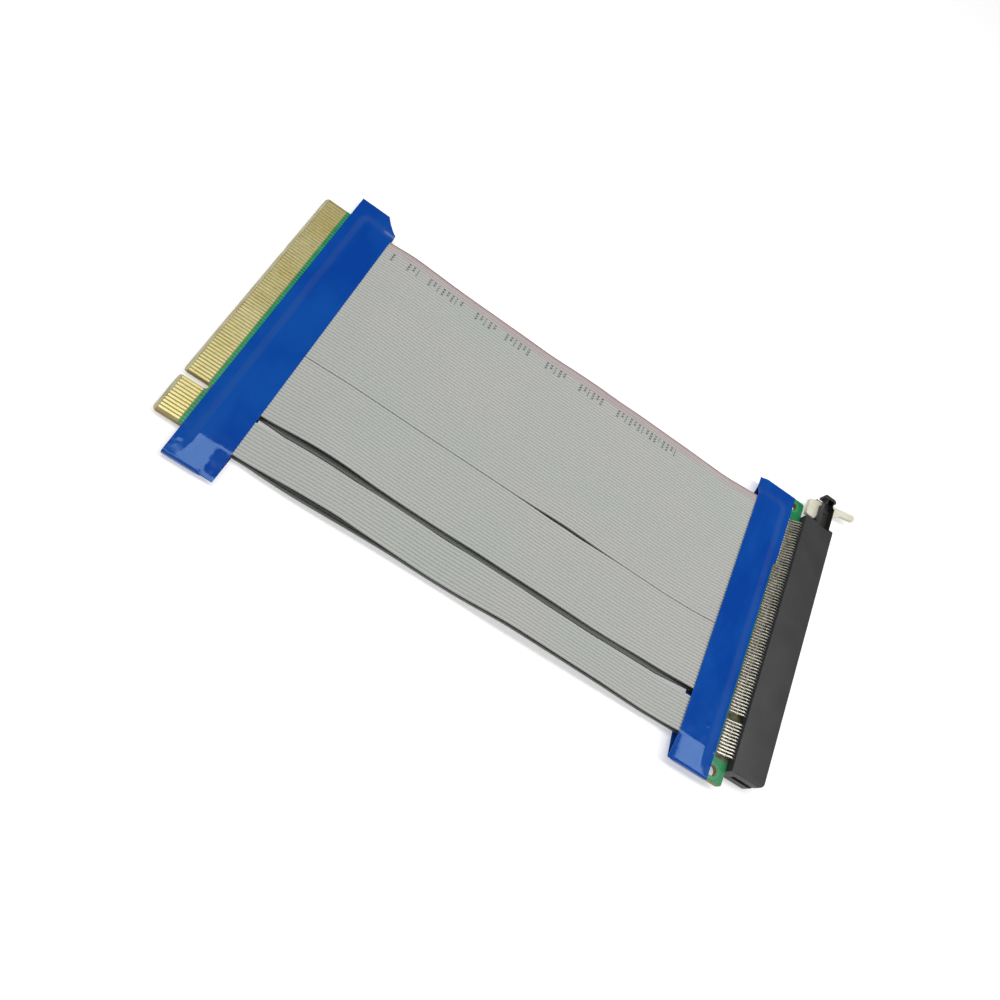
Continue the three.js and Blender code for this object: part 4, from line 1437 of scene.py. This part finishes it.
def slot_creases(x, y):
    near_end = 1 - ramp(y, 2.0, 20.0)
    rough = 0.012 + 0.03 * near_end
    broad = noise.noise(Vector((x * 0.3, y * 0.24, 8.7)))
    fine = noise.noise(Vector((x * 0.9, y * 0.7, 2.1)))
    return rough * (broad + 0.4 * fine) + sum(bubble(x, y, *place) for place in SLOT_BUBBLES)


def slot_past_board(x):
    """1 where the film has left the board and is pinched to itself, and 0 on the board."""
    return 1 - ramp(x, slot_board_low[0] - 2.2, slot_board_low[0] - 0.2)


def slot_tape_top(x, y):
    past = slot_past_board(x)
    beside = SLOT_TAPE_ON_BOARD + (SLOT_MIDDLE + PINCH_HALF - SLOT_TAPE_ON_BOARD) * past
    climb = 1 - ramp(x, SLOT_CLIMB_END, SLOT_CLIMB_START)
    over = SLOT_TAPE_ON_BOARD + (SLOT_CREST - SLOT_TAPE_ON_BOARD) * climb
    inside = between_edges(y)
    at_start = 1 - ramp(x, slot_tape_low[0], slot_tape_low[0] + 3.0)
    ragged = RIBBON_STOP - 0.6 + 1.6 * noise.noise(Vector((3.3, y * 0.9, 0.0)))
    over_ends = ramp(x, ragged, ragged + 0.8) * (1 - ramp(y, 10.0, 22.0))
    pressed = (0.05 * at_start * inside + 0.07 * over_ends) * ridges(y)
    height = beside + (over - beside) * inside - pressed + slot_creases(x, y) * (1 - 0.5 * inside)
    covers = x < RIBBON_STOP and RIBBONS_NEAR < y < RIBBONS_FAR
    return max(height, SLOT_CREST - 0.04 - pressed) if covers else height


def slot_tape_bottom(x, y):
    past = slot_past_board(x)
    beside = SLOT_TAPE_UNDER_BOARD + (SLOT_MIDDLE - PINCH_HALF - SLOT_TAPE_UNDER_BOARD) * past
    climb = 1 - ramp(x, SLOT_CLIMB_END, SLOT_CLIMB_START)
    over = SLOT_TAPE_UNDER_BOARD + (slot_tape_low[2] + 0.04 - SLOT_TAPE_UNDER_BOARD) * climb
    inside = between_edges(y)
    return beside + (over - beside) * inside + past * slot_creases(x, y) * (1 - inside)


add_tape(
    "slot_tape_film",
    tape_mesh(slot_tape_x, slot_tape_near, slot_tape_far, slot_tape_top, slot_tape_bottom),
    "slot_end_tape",
)

# %% [markdown]
# The cable lies on a pale floor with a white background. The floor is a plain matte white that takes
# the cable's soft shadow. For rays that go to the eye, or that glossy parts reflect, it gives a
# little light of its own, so that it meets the white background without a line.

# %% Floor and background
FLOOR_REACH = 3.0
FLOOR_GLOW = 0.4


def seen_rays(tree):
    """1 for rays from the camera, in a reflection or through glass, and 0 for light that is cast."""
    path = tree.nodes.new("ShaderNodeLightPath")
    total = None
    for output in ("Is Camera Ray", "Is Glossy Ray", "Is Transmission Ray"):
        if total is None:
            total = path.outputs[output]
            continue
        adder = tree.nodes.new("ShaderNodeMath")
        adder.operation = "MAXIMUM"
        tree.links.new(total, adder.inputs[0])
        tree.links.new(path.outputs[output], adder.inputs[1])
        total = adder.outputs[0]
    return total


def make_floor_paint():
    paint = Finish("floor_paint", (0.94, 0.94, 0.94), 0.9)
    tree = paint.material.node_tree
    glow = paint.add("ShaderNodeMath", operation="MULTIPLY")
    glow.inputs[1].default_value = FLOOR_GLOW
    paint.join(seen_rays(tree), glow.inputs[0])
    paint.shader.inputs["Emission Color"].default_value = (1.0, 1.0, 1.0, 1.0)
    paint.join(glow.outputs[0], paint.shader.inputs["Emission Strength"])
    return paint.material


floor_mesh = bpy.data.meshes.new("floor")
floor_corners = [(-FLOOR_REACH, -FLOOR_REACH, 0), (FLOOR_REACH, -FLOOR_REACH, 0)]
floor_corners += [(FLOOR_REACH, FLOOR_REACH, 0), (-FLOOR_REACH, FLOOR_REACH, 0)]
floor_mesh.from_pydata(floor_corners, [], [(0, 1, 2, 3)])
floor_mesh.materials.append(make_floor_paint())
floor = bpy.data.objects.new("floor", floor_mesh)
bpy.context.scene.collection.objects.link(floor)

# %% [markdown]
# Light is plain and soft. A pale sky lights every side, and one long soft lamp hangs above the
# cable's far side. Its mirror image falls on the near ends of both tapes, which is where the glossy
# film is bright. One part of the sky is darker, so that the rest of the film mirrors little and
# keeps its deep blue.

# %% Sky and lamps
SKY_STRENGTH = 0.47
HORIZON_SHARE = 0.45
DARK_SHARE = 0.25
DARK_WAY = Vector((0.171, 0.488, 0.856))


def set_sky():
    world = bpy.data.worlds.new("sky")
    world.use_nodes = True
    tree = world.node_tree

    def add(kind, **settings):
        made = tree.nodes.new(kind)
        for setting, value in settings.items():
            setattr(made, setting, value)
        return made

    def span(source, start, end, low, high):
        made = add("ShaderNodeMapRange", interpolation_type="SMOOTHSTEP")
        for name, value in (("From Min", start), ("From Max", end), ("To Min", low), ("To Max", high)):
            made.inputs[name].default_value = value
        tree.links.new(source, made.inputs["Value"])
        return made.outputs[0]

    way = add("ShaderNodeTexCoord").outputs["Generated"]
    height = add("ShaderNodeSeparateXYZ")
    tree.links.new(way, height.inputs[0])
    towards_dark = add("ShaderNodeVectorMath", operation="DOT_PRODUCT")
    towards_dark.inputs[1].default_value = DARK_WAY
    tree.links.new(way, towards_dark.inputs[0])
    rising = span(height.outputs["Z"], 0.0, 0.6, HORIZON_SHARE, 1.0)
    dark = span(towards_dark.outputs["Value"], 0.60, 0.92, SKY_STRENGTH, SKY_STRENGTH * DARK_SHARE)
    shade = add("ShaderNodeMath", operation="MULTIPLY")
    tree.links.new(rising, shade.inputs[0])
    tree.links.new(dark, shade.inputs[1])
    seen = add("ShaderNodeLightPath").outputs["Is Camera Ray"]
    brightest = add("ShaderNodeMath", operation="MAXIMUM")
    tree.links.new(seen, brightest.inputs[0])
    tree.links.new(shade.outputs[0], brightest.inputs[1])
    background = tree.nodes["Background"]
    background.inputs["Color"].default_value = (1.0, 1.0, 1.0, 1.0)
    tree.links.new(brightest.outputs[0], background.inputs["Strength"])
    bpy.context.scene.world = world


def add_lamp(name, place, aim, width, depth, glow):
    """A rectangular lamp whose face looks this bright, where 1 is white paper in full light."""
    lamp = bpy.data.lights.new(name, "AREA")
    lamp.shape = "RECTANGLE"
    lamp.size = width
    lamp.size_y = depth
    lamp.energy = glow * math.pi * width * depth
    holder = bpy.data.objects.new(name, lamp)
    holder.location = place
    holder.rotation_euler = (Vector(aim) - Vector(place)).to_track_quat("-Z", "Y").to_euler()
    bpy.context.scene.collection.objects.link(holder)
    print(name, "power", round(lamp.energy, 2), "W")


set_sky()
add_lamp("long_lamp", (0.12, 0.055, 0.60), (0.12, 0.055, 0.0), 0.95, 0.19, 4.6)

# %% [markdown]
# The camera stands close, above the card end's near side, and is turned so that the cable runs from
# upper left to lower right. Its place and turn were worked out from the known size of the card edge
# and the slot.

# %% Camera
CAMERA_PLACE = Vector((-0.05292, -0.13136, 0.20728))
CAMERA_AIM = Vector((-0.01149, -0.01329, 0.0))
CAMERA_ROLL = math.radians(49.914)
FOCAL_LENGTH = 30.58
camera = bpy.data.cameras.new("camera")
camera.lens = FOCAL_LENGTH
camera.sensor_width = 36.0
camera.clip_start = 0.01
camera_holder = bpy.data.objects.new("camera", camera)
looking = (CAMERA_AIM - CAMERA_PLACE).to_track_quat("-Z", "Y").to_matrix().to_4x4()
camera_holder.matrix_world = (
    Matrix.Translation(CAMERA_PLACE) @ looking @ Matrix.Rotation(CAMERA_ROLL, 4, "Z")
)
bpy.context.scene.collection.objects.link(camera_holder)
bpy.context.scene.camera = camera_holder
bpy.context.scene.view_settings.view_transform = "Standard"

# %% [markdown]
# Last, the scene is brought up to date.

# %% Finish
bpy.context.view_layer.update()
